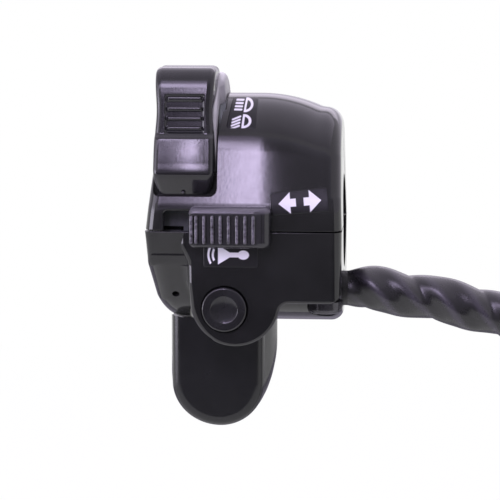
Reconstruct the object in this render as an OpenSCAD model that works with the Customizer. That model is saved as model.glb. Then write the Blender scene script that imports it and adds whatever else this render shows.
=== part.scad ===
// Left handlebar switch cluster: two shells clamped on the bar hold a dimmer lever, a turn
// slider, a horn button and a choke thumb lever, and a sleeved lead leaves at the right.
// The origin is the bar axis at mid width on the split. X runs along the bar, -Y faces the
// rider and Z is up.

/* [Handlebar] */
// outside diameter of the handlebar, mm
bar_d = 22.2; // [22:0.1:22.4]

/* [Housing] */
// width along the bar, mm
housing_w = 45.2; // [44.4:0.2:47]
// bar axis to the front face, mm
front_y = 24; // [23.8:0.1:25]
// bar axis to the rear face, mm
rear_y = 19.5; // [19.2:0.1:21]
// crest above the top of the bar, mm
crest_rise = 19.4; // [19:0.2:21]
// fall of the crest towards the right end, mm
crest_fall = 3.2; // [2:0.2:4]
// lean of the left end face, mm for each mm of height
end_lean = 0.12; // [0.08:0.01:0.14]
// underside radius about the bar axis, mm
lower_r = 24; // [23.4:0.1:24.4]
// rounding of the end edges, mm
edge_r = 3; // [2.5:0.25:3.5]
// thickness of the front wall, mm
front_wall = 2.2; // [2:0.1:2.4]
// gap between the two shells, mm
split_gap = 0.3; // [0.2:0.05:0.4]
// depth of the flat lower front panel below the split, mm
panel_drop = 16.6; // [16:0.2:17.2]
// diameter of the drain hole, mm
drain_d = 1.7; // [1:0.1:2.5]

/* [Clamp screws] */
// screw diameter, mm
screw_d = 4; // [3.5:0.1:4]
// head diameter, mm
screw_head_d = 8; // [7:0.25:8]
// head height, mm
screw_head_h = 2.8; // [2.2:0.1:3]
// screw distance from the bar axis, mm
screw_y = 14.4; // [14.2:0.1:14.8]

/* [Dimmer lever] */
// drum radius, mm
drum_r = 15; // [14.6:0.1:15.4]
// drum wall, mm
drum_wall = 2.4; // [2:0.1:2.8]
// drum width along the bar, mm
drum_w = 13.6; // [13.2:0.1:14]
// height of the drum above the crest, mm
drum_rise = 5; // [4.6:0.1:5.4]
// paddle width, mm
paddle_w = 13.4; // [13:0.1:13.6]
// height of the upper nose over the pad, mm
nose_h = 3.6; // [3:0.1:4.2]
// height of the toe's front flat over the drum, mm
toe_h = 2.9; // [2.6:0.1:3.2]
// number of grip ribs on the pad
paddle_ribs = 4; // [3:1:6]
// pivot pin diameter, mm
pin_d = 3; // [2.5:0.1:3.2]

/* [Turn slider] */
// knob width, mm
turn_w = 18; // [17.6:0.1:19]
// knob height, mm
turn_h = 9.8; // [9.4:0.1:10.2]
// knob depth in front of the housing, mm
turn_depth = 4.6; // [4:0.1:5]
// travel from right to left, mm
turn_travel = 8; // [6:0.5:8]
// number of grip ribs on the knob
turn_ribs = 8; // [6:1:9]

/* [Horn button] */
// button diameter, mm
horn_d = 10.6; // [10:0.1:10.8]
// travel of the button, mm
horn_travel = 2.2; // [1.6:0.1:2.2]
// height of the button over the boss, mm
horn_proud = 0.9; // [0.5:0.1:1.2]
// radius of the round boss, mm
boss_r = 10.3; // [9.9:0.1:10.6]
// mean diameter of the return spring, mm
horn_spring_d = 7; // [6.4:0.1:7.6]
// curls in the return spring
horn_spring_turns = 4; // [3:1:5]

/* [Choke lever] */
// width of the thumb face, mm
choke_w = 21.2; // [20:0.1:22]
// bar axis to the lower tip, mm
choke_drop = 50.4; // [47:0.2:53]
// depth of the thumb piece front to back, mm
choke_depth = 10.5; // [9:0.1:11]
// widening of the thumb piece towards its back, mm each side
choke_draft = 2.5; // [1:0.1:2.6]
// swing of the lever, degrees
choke_swing = 40; // [30:1:42]
// collar width on the bar, mm
collar_w = 17.9; // [17:0.1:18.4]
// collar wall, mm
collar_t = 2.95; // [2.6:0.05:3]
// outside diameter of the choke cable's casing, mm
casing_d = 5; // [4.6:0.1:5.2]

/* [Lead] */
// sleeve diameter, mm
lead_d = 10.2; // [9.4:0.1:10.6]
// sleeve diameter where it leaves the housing, mm
lead_neck_d = 8; // [7:0.1:8.2]
// connector width, mm
plug_w = 18; // [16:0.5:20]
// connector thickness, mm
plug_t = 12; // [11:0.25:13]
// connector length, mm
plug_l = 22; // [19:0.5:26]

/* [Hidden] */
$fn = 48;
// running clearance between moving pieces, and slip clearance of pins in their holes
run = 0.3;
slip = 0.04;
left_x = -housing_w / 2;
right_x = housing_w / 2;
crest_x = 3;
half_gap = split_gap / 2;
bar_r = bar_d / 2;
upper_h = bar_r + crest_rise;
screw_x = right_x - 3.9;
screw_seat = 17.2;

// round rods, [y, z, radius], whose wrapped outline is the section of the upper shell
upper_rods = [
  [10 - front_y, -4, 10],
  [10 - front_y, 4, 10],
  [-6.5, upper_h - 14, 14],
  [4, upper_h - 15.5, 15],
  [rear_y - 10, -4, 10]
];
// the crest falls to the right along a parabola, while the rods at the split stay level
crest_round = 4.5;
crest_end = right_x - 0.5 - crest_round;
crest_step = (crest_end - crest_x) / 3;
function leaned(rod) = end_lean * (rod[1] + rod[2] - edge_r);
function fallen(rod, part) = rod[1] < 5 ? rod : rod - [0, crest_fall * part * part, 0];
// the same for the lower shell, all inside the underside radius, with each rod's setback
// from the left end as a fourth value
band_drop = 6.8;
belly_round = 5;
belly_back = 3.2;
lower_rods = [
  [2.6 - front_y, 4, 2.6, 0],
  [3.3 - front_y, 1.6 - band_drop, 2.6, 0.7],
  [-4.7, 15.26 - lower_r, 14, belly_back],
  [0, 14 - lower_r, 14, belly_back],
  [9.4, 13.9 - lower_r, 10, belly_back],
  [rear_y - 10, 4, 10, 0]
];

// dimmer pivot and its drum
pivot_y = -7;
pivot_z = upper_h + drum_rise - drum_r;
drum_x0 = left_x + 4;
drum_x1 = drum_x0 + drum_w;
drum_from = 34;
drum_to = 223;
hub_r = 4.5;
paddle_x = left_x + 2.15 + paddle_w / 2;
paddle_from = 100;
paddle_to = 211;
paddle_round = 1.8;
board_t = 1.5;
pocket_y = -20.5;
pocket_z = 9.8;
pocket_x0 = paddle_x - paddle_w / 2 - run;
pocket_x1 = paddle_x + paddle_w / 2 + run;
cheek_y = -16.4;

// choke collar on the bar and the chamber that it turns in
collar_x0 = left_x + 3;
collar_x1 = collar_x0 + collar_w;
collar_in = bar_r + 0.2;
collar_r = collar_in + collar_t;
chamber_r = collar_r + 0.35;
chamber_x0 = collar_x0 - 0.2;
chamber_x1 = collar_x1 + 0.8;
chamber_wall = chamber_r + 1.6;
neck_x = collar_x0 + 11.6;
neck_w = 10;
neck_t = 9;
choke_x = neck_x + 1.3;
choke_front = -9.5;
tongue_r = lower_r + 0.4;
groove_x = collar_x0 + 3.2;

// turn slider, drawn at its right stop
turn_x = -2.4;
turn_z = 1.5;
stem_w = turn_w - 3.2;
notch_h = 4.6;
notch_x0 = turn_x - stem_w / 2 - turn_travel - run;
notch_x1 = turn_x + stem_w / 2 + run;
bay_x0 = notch_x0 - 1.5;
bay_x1 = notch_x1 + 1.9;
bay_front = front_wall - front_y;
bay_back = -15.6;
bay_top = 8.6;
bay_bottom = -5.5;
knob_back = 0.65 + front_y;

// horn button in its boss
panel_y = front_y + 0.3;
boss_x = -1.85;
boss_z = -16.4;
boss_back = -10.8;
panel_x0 = boss_x - boss_r - 0.5;
horn_x = -4.2;
horn_z = -18;
horn_r = horn_d / 2;
horn_flange_r = horn_r + 0.5;
horn_well_r = horn_flange_r + run;
horn_seat = 4.1 - panel_y;
horn_base_y = -13.4;

// lead outlet and the route of the sleeve, all at one depth
outlet_y = -6.5;
outlet_z = -15.4;
outlet_r = lead_neck_d / 2 + 0.15;
lead_x = right_x + 1;
lead_route = [
  [lead_x, outlet_z],
  [30, -15.7],
  [38, -16.8],
  [46, -18.2],
  [54, -19.9],
  [61, -22],
  [68, -25.4],
  [74.5, -31],
  [79.5, -39],
  [82, -48],
  [82.5, -58],
  [82.5, -80],
  [82.5, -102],
  [82.5, -124],
  [82.5, -146]
];
plug_x = 82.5;
plug_top = -146;

// wires in the housing: one route from the boards to the outlet, and each wire's place beside it
wire_r = 0.6;
wire_route = [
  [-9, -19.2, -3.2],
  [-2, -19.4, -3.2],
  [5, -19.4, -3.2],
  [9.6, -18.8, -5],
  [10.6, -16.6, -8.6],
  [11, -11, -13],
  [13.6, -7.2, -15.4],
  [17, outlet_y, outlet_z],
  [right_x - 2, outlet_y, outlet_z]
];
wire_places = [[0, 0, 0], [1.2, 0.6, 1.2], [-1.2, 0.9, -1]];

// places children drawn along Z so that they lie along X through a point of the YZ plane
module along_x(x, y, z) {
  translate([x, y, z])
    rotate([0, 90, 0])
      children();
}

// places children drawn along Z so that they run from the front to the back
module along_y(x, y, z) {
  translate([x, y, z])
    rotate([-90, 0, 0])
      children();
}

// cylinder along X from x0 to x1
module rod_x(x0, x1, y, z, r) {
  along_x(x0, y, z)
    cylinder(r = r, h = x1 - x0);
}

// cylinder along Y from y0 to y1
module rod_y(y0, y1, x, z, r) {
  along_y(x, y0, z)
    cylinder(r = r, h = y1 - y0);
}

// cuboid given by two corners
module block(p, q) {
  translate(p)
    cube(q - p);
}

// a rod of the wrapped section with its end edge rounded
module rounded_rod(x, rod, f) {
  along_x(x, rod[0], rod[1])
    rotate_extrude($fn = 40)
      translate([rod[2] - f, 0])
        circle(f, $fn = 20);
}

// a thin slice of a rod
module rod_slice(x, rod) {
  along_x(x, rod[0], rod[1])
    cylinder(r = rod[2], h = 1.5, center = true, $fn = 40);
}

// closed skin over rings of equal point count, each end a fan about the middle of its ring
function middle(ring) = [for (i = [0:len(ring) - 1]) 1] * ring / len(ring);
module skin(rings) {
  n = len(rings[0]);
  m = len(rings);
  polyhedron(
    points = concat([for (r = rings) each r], [middle(rings[0]), middle(rings[m - 1])]),
    faces = concat(
      [for (i = [0:n - 1]) [m * n, (i + 1) % n, i]],
      [for (k = [0:m - 2]) for (i = [0:n - 1]) [k * n + i, (k + 1) * n + (i + 1) % n, (k + 1) * n + i]],
      [for (k = [0:m - 2]) for (i = [0:n - 1]) [k * n + i, k * n + (i + 1) % n, (k + 1) * n + (i + 1) % n]],
      [for (i = [0:n - 1]) [m * n + 1, (m - 1) * n + i, (m - 1) * n + (i + 1) % n]]
    )
  );
}

// point on a smooth curve through route points, t counted in points
function clamp_at(p, i) = p[max(0, min(len(p) - 1, i))];
function spline(p, t) =
  let (k = min(floor(t), len(p) - 2), u = t - k)
  let (a = clamp_at(p, k - 1), b = clamp_at(p, k), c = clamp_at(p, k + 1), d = clamp_at(p, k + 2))
  0.5 * (2 * b + (c - a) * u + (2 * a - 5 * b + 4 * c - d) * u * u + (3 * b - a - 3 * c + d) * u * u * u);
function unit(v) = v / norm(v);

// rings of a round tube along points in space, with a fixed side direction
function tube_rings(pts, radii, sides, start_dir, end_dir) =
  let (m = len(pts))
  [
    for (k = [0:m - 1])
      let (t = k == 0 ? start_dir : k == m - 1 ? end_dir : unit(pts[k + 1] - pts[k - 1]))
      let (s = unit(cross(t, [0.02, 0.99, 0.1])), w = cross(s, t))
      [for (i = [0:sides - 1]) pts[k] + radii[k] * (cos(360 * i / sides) * s + sin(360 * i / sides) * w)]
  ];

// rings of a round spring about Z
function coil_rings(r, wire, turns, height) =
  [
    for (k = [0:turns * 10])
      let (a = 36 * k, c = [r * cos(a), r * sin(a), wire + (height - 2 * wire) * k / (turns * 10)])
      let (out = [cos(a), sin(a), 0])
      [for (i = [0:5]) c + wire * (cos(60 * i) * out + sin(60 * i) * [0, 0, 1])]
  ];

// drop of a rounded corner at distances from its two edges
function edge_drop(s1, s2, f) =
  let (u = max(0, f - s1), v = max(0, f - s2))
  f - sqrt(max(0, f * f - u * u - v * v));

// outline of the paddle about the pivot: a nose, a pad, the toe's front flat and its lower flat
function soft_min(u, v) = -ln(exp(-2 * u) + exp(-2 * v)) / 2;
function paddle_out(a) =
  let (pad = drum_r + 2.2 + nose_h * bump((a - 131) / 12))
  let (t = max(a, 165))
  let (toe = soft_min((drum_r + toe_h) / cos(t - 165), (drum_r + toe_h + 2.9) / cos(t - 217)))
  let (step = min(1, max(0, (a - 173) / 5)))
  pad + (toe - pad) * step * step * (3 - 2 * step);
function paddle_in(a) = a < 185 ? drum_r - 0.9 : max(drum_r - 0.9, (pocket_y - pivot_y - 0.5) / cos(a));
function bump(t) = exp(-t * t / 2);
function paddle_half(a) =
  let (waist = bump((a - 156) / 12))
  let (end = pow(max(0, a - 198) / 13, 2))
  paddle_w / 2 * (0.97 - 0.07 * waist - 0.16 * end);
function about_pivot(x, a, r) = [x, pivot_y + r * cos(a), pivot_z + r * sin(a)];

// upper shell: crest, clamp saddle, drum chamber, slider bay and choke cable seat
module upper_shell() {
  color([0.09, 0.09, 0.1])
    difference() {
      union() {
        hull() {
          for (rod = upper_rods)
            let (f = rod[1] < 5 ? edge_r : crest_round, x1 = rod[1] < 5 ? right_x - f : crest_end) {
              rounded_rod(left_x + leaned(rod) + edge_r, rod, edge_r);
              for (k = [0:2])
                rod_slice(crest_x + k * crest_step, fallen(rod, k / 3));
              rounded_rod(x1, fallen(rod, 1), f);
            }
        }
        rod_y(14, rear_y + 1.5, groove_x, collar_r - 1.2, casing_d / 2 + 1.9);
      }
      block([-60, -60, -60], [60, 60, half_gap]);
      rod_x(left_x - 1, right_x + 1, 0, 0, bar_r);
      rod_x(chamber_x0, chamber_x1, 0, 0, chamber_r);
      difference() {
        rod_x(drum_x0 - run, drum_x1 + run, pivot_y, pivot_z, drum_r + 0.4);
        rod_x(left_x, right_x, 0, 0, chamber_wall);
        block([pocket_x1, -40, -40], [20, cheek_y, 60]);
      }
      block([left_x - 1, -40, pivot_z + 3.5], [drum_x0, 40, 60]);
      block([pocket_x0, -40, pocket_z], [pocket_x1, pocket_y, pivot_z + 8]);
      rod_x(left_x - 1, drum_x1 + 2.6, pivot_y, pivot_z, pin_d / 2 + slip);
      block([bay_x0, bay_front, -1], [bay_x1, bay_back, bay_top]);
      block([notch_x0, -front_y - 5, -1], [notch_x1, bay_front + 1, notch_h]);
      for (k = [0:2])
        rod_y(bay_front + 0.4, bay_back - 1, turn_x - k * turn_travel / 2, bay_top, 1);
      for (side = [-1, 1])
        translate([screw_x, side * screw_y, -1])
          cylinder(r = screw_d / 2 + slip, h = 14);
      rod_y(rear_y - 6, rear_y + 3, groove_x, collar_r - 1.2, casing_d / 2 + 0.1);
      rod_y(4, rear_y, groove_x, collar_r - 1.2, 1);
    }
}

// web that rounds out an inside corner of the front panel, towards +X or -X of its round
module corner_web(x, z, r, side) {
  along_y(x, 1.2 - panel_y, z)
    linear_extrude(panel_y - 14)
      difference() {
        translate([side > 0 ? 0 : -r - 1, -1])
          square([r + 1, r + 1]);
        translate([0, r])
          circle(r);
      }
}

// lower shell: belly, flat front panel with the horn boss, lead outlet and lever window
module lower_shell() {
  color([0.08, 0.08, 0.09])
    difference() {
      union() {
        hull()
          for (rod = lower_rods)
            let (f = min(rod[1] < -3 ? belly_round : edge_r, rod[2] / 2), g = min(edge_r, rod[2] / 2)) {
              rounded_rod(left_x + rod[3] + f, rod, f);
              rounded_rod(right_x - g, rod, g);
            }
        hull()
          for (x = [panel_x0 + edge_r, right_x - 0.6 - edge_r])
            for (z = [edge_r - panel_drop, 4])
              along_y(x, 0, z) {
                translate([0, 0, 1 - panel_y])
                  rotate_extrude($fn = 32)
                    translate([edge_r - 1, 0])
                      circle(1, $fn = 16);
                translate([0, 0, -14])
                  cylinder(r = edge_r, h = 1, $fn = 32);
              }
        along_y(boss_x, -panel_y, boss_z)
          rotate_extrude() {
            square([boss_r - 1, panel_y + boss_back]);
            translate([0, 1])
              square([boss_r, panel_y + boss_back - 1]);
            translate([boss_r - 1, 1])
              circle(1);
          }
        corner_web(boss_x + boss_r + 1.6, -panel_drop, 2.4, -1);
        corner_web(panel_x0 - 2.2, -band_drop, 2.2, 1);
      }
      block([-60, -60, -half_gap], [60, 60, 60]);
      rod_x(left_x - 1, right_x + 1, 0, 0, bar_r);
      rod_x(chamber_x0, chamber_x1, 0, 0, chamber_r);
      along_x(neck_x - neck_w / 2 - run, 0, 0)
        rotate([0, 0, -asin((neck_t / 2 + run) / chamber_r)])
          rotate_extrude(angle = choke_swing + 2 * asin((neck_t / 2 + run) / chamber_r))
            translate([chamber_r - 1, 0])
              square([lower_r, neck_w + 2 * run]);
      block([bay_x0 + 5, bay_front, bay_bottom], [bay_x1, bay_back, 1]);
      block([bay_x1 - 1, bay_front, -13], [13, -12.8, 1]);
      rod_y(-panel_y - 1, horn_seat + 1, horn_x, horn_z, horn_r + 0.15);
      rod_y(horn_seat, boss_back + 1, horn_x, horn_z, horn_well_r);
      rod_x(8, right_x + 1, outlet_y, outlet_z, outlet_r);
      translate([11, outlet_y, outlet_z])
        rotate([60, 0, 0])
          cylinder(r = 3, h = 11);
      for (side = [-1, 1])
        translate([screw_x, side * screw_y, 0]) {
          translate([0, 0, -30])
            cylinder(r = screw_d / 2 + 0.2, h = 31);
          translate([0, 0, -40])
            cylinder(r = screw_head_d / 2 + 0.3, h = 40 - screw_seat);
        }
      translate([-16.2, 0, 0])
        rotate([132.8, 0, 0])
          translate([0, 0, chamber_r - 1])
            cylinder(r = drain_d / 2, h = 16);
    }
}

// pan-head machine screws that draw the lower shell up to the upper one
module clamp_screws() {
  color([0.55, 0.56, 0.58])
    for (side = [-1, 1])
      translate([screw_x, side * screw_y, -screw_seat])
        difference() {
          union() {
            cylinder(r = screw_d / 2, h = 30);
            rotate_extrude() {
              translate([0, 1 - screw_head_h])
                square([screw_head_d / 2, screw_head_h - 1]);
              translate([0, -screw_head_h])
                square([screw_head_d / 2 - 1, screw_head_h]);
              translate([screw_head_d / 2 - 1, 1 - screw_head_h])
                circle(1);
            }
          }
          for (turn = [0, 90])
            rotate([0, 0, turn])
              block([-2.2, -0.45, -screw_head_h - 1], [2.2, 0.45, 1.5 - screw_head_h]);
        }
}

// dimmer lever: open drum with a hub, and the thumb paddle grown on its front
module dimmer_lever() {
  edge = [for (k = [0:4]) paddle_round * (1 - cos(22.5 * k))];
  inset = concat(edge, [for (k = [4:-1:0]) edge[k]]);
  arc = [for (e = edge) e * 180 / (PI * drum_r)];
  as = concat(
    [for (e = arc) paddle_from + e],
    [for (k = [1:24]) paddle_from + 8 + k * (paddle_to - paddle_from - 16) / 25],
    [for (k = [4:-1:0]) paddle_to - arc[k]]
  );
  color([0.05, 0.05, 0.06])
    difference() {
      union() {
        along_x(drum_x0, pivot_y, pivot_z)
          rotate([0, 0, drum_from + 90])
            rotate_extrude(angle = drum_to - drum_from) {
              square([drum_r - 1, 2]);
              difference() {
                translate([drum_r - drum_wall, 0])
                  square([drum_wall, drum_w]);
                for (z = [0, drum_w - 1.5])
                  translate([drum_r - 1.5, z])
                    difference() {
                      square([2, 1.5]);
                      translate([0, z > 0 ? 0 : 1.5])
                        circle(1.5);
                    }
              }
            }
        rod_x(drum_x0, drum_x1 - 3.5, pivot_y, pivot_z, hub_r);
        skin([
          for (a = as)
            let (end_s = min(a - paddle_from, paddle_to - a) * PI * drum_r / 180)
            let (half = paddle_half(a))
            concat(
              [
                for (k = [0:9])
                  about_pivot(
                    paddle_x + (k < 5 ? -1 : 1) * (half - inset[k]),
                    a,
                    paddle_out(a) - edge_drop(end_s, inset[k], paddle_round)
                  )
              ],
              [about_pivot(paddle_x + half, a, paddle_in(a)), about_pivot(paddle_x - half, a, paddle_in(a))]
            )
        ]);
        for (k = [0:paddle_ribs - 1])
          let (p = about_pivot(0, 145 + k * 26 / (paddle_ribs - 1), drum_r + 2.5))
          rod_x(paddle_x - 4.6, paddle_x + 4.6, p[1], p[2], 0.7);
      }
      rod_x(drum_x0 - 1, drum_x1, pivot_y, pivot_z, pin_d / 2 + slip);
      block([pocket_x1 - run, -40, -40], [20, cheek_y + run, 60]);
    }
}

// pivot pin pressed into the left wall and the inner cheek of the upper shell
module dimmer_pin() {
  color([0.72, 0.73, 0.75])
    rod_x(left_x + end_lean * pivot_z + 0.3, drum_x1 + 2.5, pivot_y, pivot_z, pin_d / 2);
}

// half-round contact board inside the drum, on the cheek of the upper shell
module dimmer_board() {
  color([0.45, 0.3, 0.16])
    difference() {
      along_x(drum_x1 + run - board_t, pivot_y, pivot_z)
        rotate([0, 0, 100])
          rotate_extrude(angle = 200)
            square([9, board_t]);
      rod_x(drum_x1 - 5, drum_x1 + 5, pivot_y, pivot_z, pin_d / 2 + 0.3);
    }
}

// fixed contacts of the dimmer, one for each beam
module dimmer_contacts() {
  color([0.8, 0.62, 0.3])
    for (a = [80, 100, 140])
      let (p = about_pivot(0, a, 7))
      rod_x(drum_x1 + run - board_t - 0.6, drum_x1 + run - board_t, p[1], p[2], 1.1);
}

// spring blade on the hub that bridges the dimmer contacts
module dimmer_wiper() {
  blade_x = drum_x1 - 3.5;
  color([0.82, 0.64, 0.32])
    difference() {
      union() {
        rod_x(blade_x, blade_x + 0.7, pivot_y, pivot_z, hub_r - 0.4);
        for (a = [100, 140])
          let (p = about_pivot(0, a, 7)) {
            translate([blade_x, pivot_y, pivot_z])
              rotate([a, 0, 0])
                block([0, 2.5, -1.2], [0.7, 8, 1.2]);
            rod_x(blade_x, drum_x1 + run - board_t - 0.8, p[1], p[2], 0.9);
          }
      }
      rod_x(blade_x - 1, blade_x + 4, pivot_y, pivot_z, pin_d / 2 + slip);
    }
}

// spring leaf on the chamber floor with a crest that clicks against the hub
module dimmer_detent() {
  tilt = atan2(pivot_z, pivot_y);
  reach = norm([pivot_y, pivot_z]) - hub_r - run;
  color([0.66, 0.67, 0.7])
    along_x(drum_x0 + 4, 0, 0)
      difference() {
        union() {
          rotate([0, 0, tilt + 80])
            rotate_extrude(angle = 20)
              translate([chamber_wall + 0.05, 0])
                square([0.5, 6]);
          rotate([0, 0, tilt + 90])
            translate([reach - 1, 0, 0])
              cylinder(r = 1, h = 6);
        }
        translate([0, 0, -1])
          cylinder(r = chamber_wall + 0.05, h = 8);
      }
}

// turn knob: ribbed cap outside, neck through the notch and a stem into the carrier
module turn_knob() {
  cap_front = -knob_back - turn_depth;
  pitch = 13.6 / (turn_ribs - 1);
  color([0.04, 0.04, 0.05])
    union() {
      hull()
        for (x = [turn_x - turn_w / 2 + 1.2, turn_x + turn_w / 2 - 1.2])
          for (z = [turn_z - turn_h / 2 + 1.2, turn_z + turn_h / 2 - 1.2]) {
            rod_y(-knob_back - 2, -knob_back, x, z, 1.2, $fn = 32);
            translate([x + (x > turn_x ? -0.8 : 0.8), cap_front + 1.6, z - (z > turn_z ? 2 : -0.4)])
              sphere(1.2, $fn = 32);
          }
      for (k = [0:turn_ribs - 1])
        translate([turn_x - 6.8 + k * pitch, cap_front + 0.75, turn_z - turn_h / 2 + 1.6])
          cylinder(r = 0.75, h = turn_h - 4.6);
      block(
        [turn_x - stem_w / 2, -knob_back - 1, 0.15],
        [turn_x + stem_w / 2, bay_front + 0.4, notch_h - run]
      );
      rod_y(bay_front, bay_front + 2.6, turn_x + 4, 2.2, 1.5);
    }
}

// moulded carrier that the knob's stem is pressed into
module turn_carrier() {
  color([0.85, 0.83, 0.76])
    difference() {
      block(
        [turn_x - stem_w / 2, bay_front + 0.4, 0.4],
        [turn_x + stem_w / 2, bay_front + 3.2, bay_top - 1.6]
      );
      rod_y(bay_front, bay_front + 2.8, turn_x + 4, 2.2, 1.5 + slip);
      translate([turn_x, bay_front + 1.8, 3.4])
        cylinder(r = 1.25, h = 8);
    }
}

// sliding contact bridge on the back of the carrier
module turn_wiper() {
  color([0.82, 0.64, 0.32])
    block([turn_x - 5.2, bay_front + 3.2, 5.1], [turn_x + 5.2, bay_front + 3.9, bay_top - 1.6]);
}

// contact board against the back of the slider bay
module turn_board() {
  color([0.45, 0.3, 0.16])
    union() {
      block([bay_x0 + 0.3, bay_back - board_t, 0.3], [bay_x1 - 0.3, bay_back, bay_top - 0.3]);
      block([bay_x0 + 5.3, bay_back - board_t, bay_bottom + 0.3], [bay_x1 - 0.3, bay_back, 1]);
    }
}

// riveted contacts: left, feed and right
module turn_contacts() {
  color([0.8, 0.62, 0.3])
    for (k = [0:2])
      rod_y(bay_front + 4.1, bay_back - board_t, turn_x + 4 - 8 * k, 6, 1.2);
}

// detent ball on its spring in the carrier
module turn_ball() {
  color([0.75, 0.76, 0.78])
    translate([turn_x, bay_front + 1.8, bay_top - 1.5])
      sphere(1.2);
}

// spring under the detent ball
module turn_spring() {
  color([0.7, 0.7, 0.72])
    translate([turn_x, bay_front + 1.8, 3.45])
      skin(coil_rings(0.85, 0.2, 4, 2.75));
}

// horn button: dished face, skirt and the flange that stops behind the boss
module horn_button() {
  face = -panel_y - horn_proud;
  color([0.05, 0.05, 0.055])
    along_y(horn_x, face, horn_z)
      rotate_extrude()
        difference() {
          union() {
            translate([0, 0.5])
              square([horn_r, horn_seat - face - 0.5 + run]);
            square([horn_r - 0.5, 2]);
            translate([horn_r - 0.5, 0.5])
              circle(0.5);
            translate([0, horn_seat - face + run])
              square([horn_flange_r, 1.5]);
            translate([0, horn_seat - face])
              square([1.6, 2.9]);
          }
          translate([0, -5.2])
            circle(6);
        }
}

// contact disc on the end of the plunger
module horn_disc() {
  color([0.8, 0.62, 0.3])
    rod_y(horn_seat + 2.9, horn_seat + 3.3, horn_x, horn_z, 1.6);
}

// return spring between the flange and the base
module horn_spring() {
  spring_y = horn_seat + run + 1.5;
  color([0.7, 0.7, 0.72])
    along_y(horn_x, spring_y, horn_z)
      skin(coil_rings(horn_spring_d / 2, 0.4, horn_spring_turns, horn_base_y - spring_y));
}

// insulating base that closes the back of the boss
module horn_base() {
  color([0.45, 0.3, 0.16])
    difference() {
      rod_y(horn_base_y, boss_back - 0.4, horn_x, horn_z, horn_well_r - slip);
      rod_y(horn_base_y - 1, boss_back + 1, horn_x, horn_z, 1.2 + slip);
    }
}

// fixed contact riveted through the base
module horn_terminal() {
  color([0.8, 0.62, 0.3])
    union() {
      rod_y(horn_base_y - 0.6, boss_back - 0.2, horn_x, horn_z, 1.2);
      rod_y(horn_base_y - 0.6, horn_base_y, horn_x, horn_z, 2);
    }
}

// thumb piece of the choke lever without its hollow, shrunk by a margin and cut off at a top
module thumb_form(margin, top) {
  half = choke_w / 2 - margin;
  tip = choke_drop - 1.4 - margin;
  layers = [
    [margin, -1.2, 0],
    [margin + 0.16, -0.6, 0],
    [margin + 0.6, -0.16, 0],
    [margin + 1.2, 0, 0],
    [choke_depth, choke_draft, 3.6]
  ];
  skin([
    for (layer = layers)
      let (y = choke_front + layer[0], w = half + layer[1], rise = half + layer[2])
      concat(
        [[choke_x - w, y, -top]],
        [
          for (t = [180:-7.5:0])
            [choke_x + w * cos(t), y, rise - tip - (rise + min(layer[1], 0)) * sin(t)]
        ],
        [[choke_x + w, y, -top]]
      )
  ]);
}

// choke lever: collar on the bar, neck through the window and the hollow thumb piece
module choke_lever() {
  color([0.08, 0.08, 0.09])
    union() {
      difference() {
        thumb_form(0, 16);
        translate([0, 0.5, 0])
          thumb_form(2.2, tongue_r + 3.2);
        rod_x(-60, 60, 0, 0, tongue_r);
      }
      block(
        [choke_x - 1, choke_front + 1.5, 3 - choke_drop],
        [choke_x + 1, choke_front + choke_depth - 1, -tongue_r - 2]
      );
      difference() {
        union() {
          rod_x(collar_x0, collar_x1, 0, 0, collar_r);
          block(
            [neck_x - neck_w / 2, -neck_t / 2, -tongue_r - 1.5],
            [neck_x + neck_w / 2, neck_t / 2, -collar_r + 1]
          );
        }
        rod_x(left_x, right_x, 0, 0, collar_in);
        along_x(groove_x - 1, 0, 0)
          rotate_extrude()
            translate([collar_r - 1.8, 0])
              square([3, 2]);
      }
    }
}

// thrust washer between the collar and the clamp saddle
module choke_washer() {
  color([0.66, 0.67, 0.7])
    difference() {
      rod_x(collar_x1 + 0.15, collar_x1 + 0.65, 0, 0, collar_r - 0.2);
      rod_x(collar_x1, collar_x1 + 2, 0, 0, collar_in + 0.1);
    }
}

// rubber grommet in the lead outlet
module lead_grommet() {
  color([0.03, 0.03, 0.03])
    difference() {
      rod_x(right_x - 6, lead_x, outlet_y, outlet_z, outlet_r - 0.05);
      rod_x(right_x - 7, lead_x - 1.2, outlet_y, outlet_z, 2.6);
    }
}

// insulated wires from the boards to the grommet
module inner_wires() {
  color([0.15, 0.3, 0.6])
    for (place = wire_places)
      let (pts = [for (t = [0:1 / 3:len(wire_route) - 0.9]) spline(wire_route, t) + place])
      skin(tube_rings(pts, [for (p = pts) wire_r], 8, [1, 0, 0], [1, 0, 0]));
}

// soft sleeve over the wires, hanging from the outlet to the connector
module lead_sleeve() {
  pts = [
    for (t = [0:1 / 3:len(lead_route) - 0.9])
      let (p = spline(lead_route, t))
      [p[0], outlet_y, p[1]]
  ];
  color([0.06, 0.06, 0.06])
    skin(tube_rings(
      pts,
      [for (k = [0:len(pts) - 1]) lead_d / 2 - (lead_d - lead_neck_d) / 2 * exp(-k * k / 6)],
      12,
      [1, 0, 0],
      [0, 0, -1]
    ));
}

// six-way connector: collar for the sleeve, body with cavities and a latch
module lead_connector() {
  color([0.86, 0.85, 0.8])
    difference() {
      union() {
        translate([plug_x, outlet_y, plug_top - 4])
          cylinder(r = lead_d / 2 + 0.6, h = 4);
        block(
          [plug_x - plug_w / 2, outlet_y - plug_t / 2, plug_top - 3 - plug_l],
          [plug_x + plug_w / 2, outlet_y + plug_t / 2, plug_top - 3]
        );
        block(
          [plug_x - 3, outlet_y - plug_t / 2 - 1.8, plug_top - plug_l + 3],
          [plug_x + 3, outlet_y - plug_t / 2 + 1, plug_top - 6]
        );
      }
      for (col = [-1:1])
        for (row = [-0.5, 0.5])
          translate([plug_x + col * plug_w / 3.4, outlet_y + row * plug_t / 2.2, plug_top - 4 - plug_l])
            cylinder(r = 1.6, h = 11);
    }
}

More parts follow.
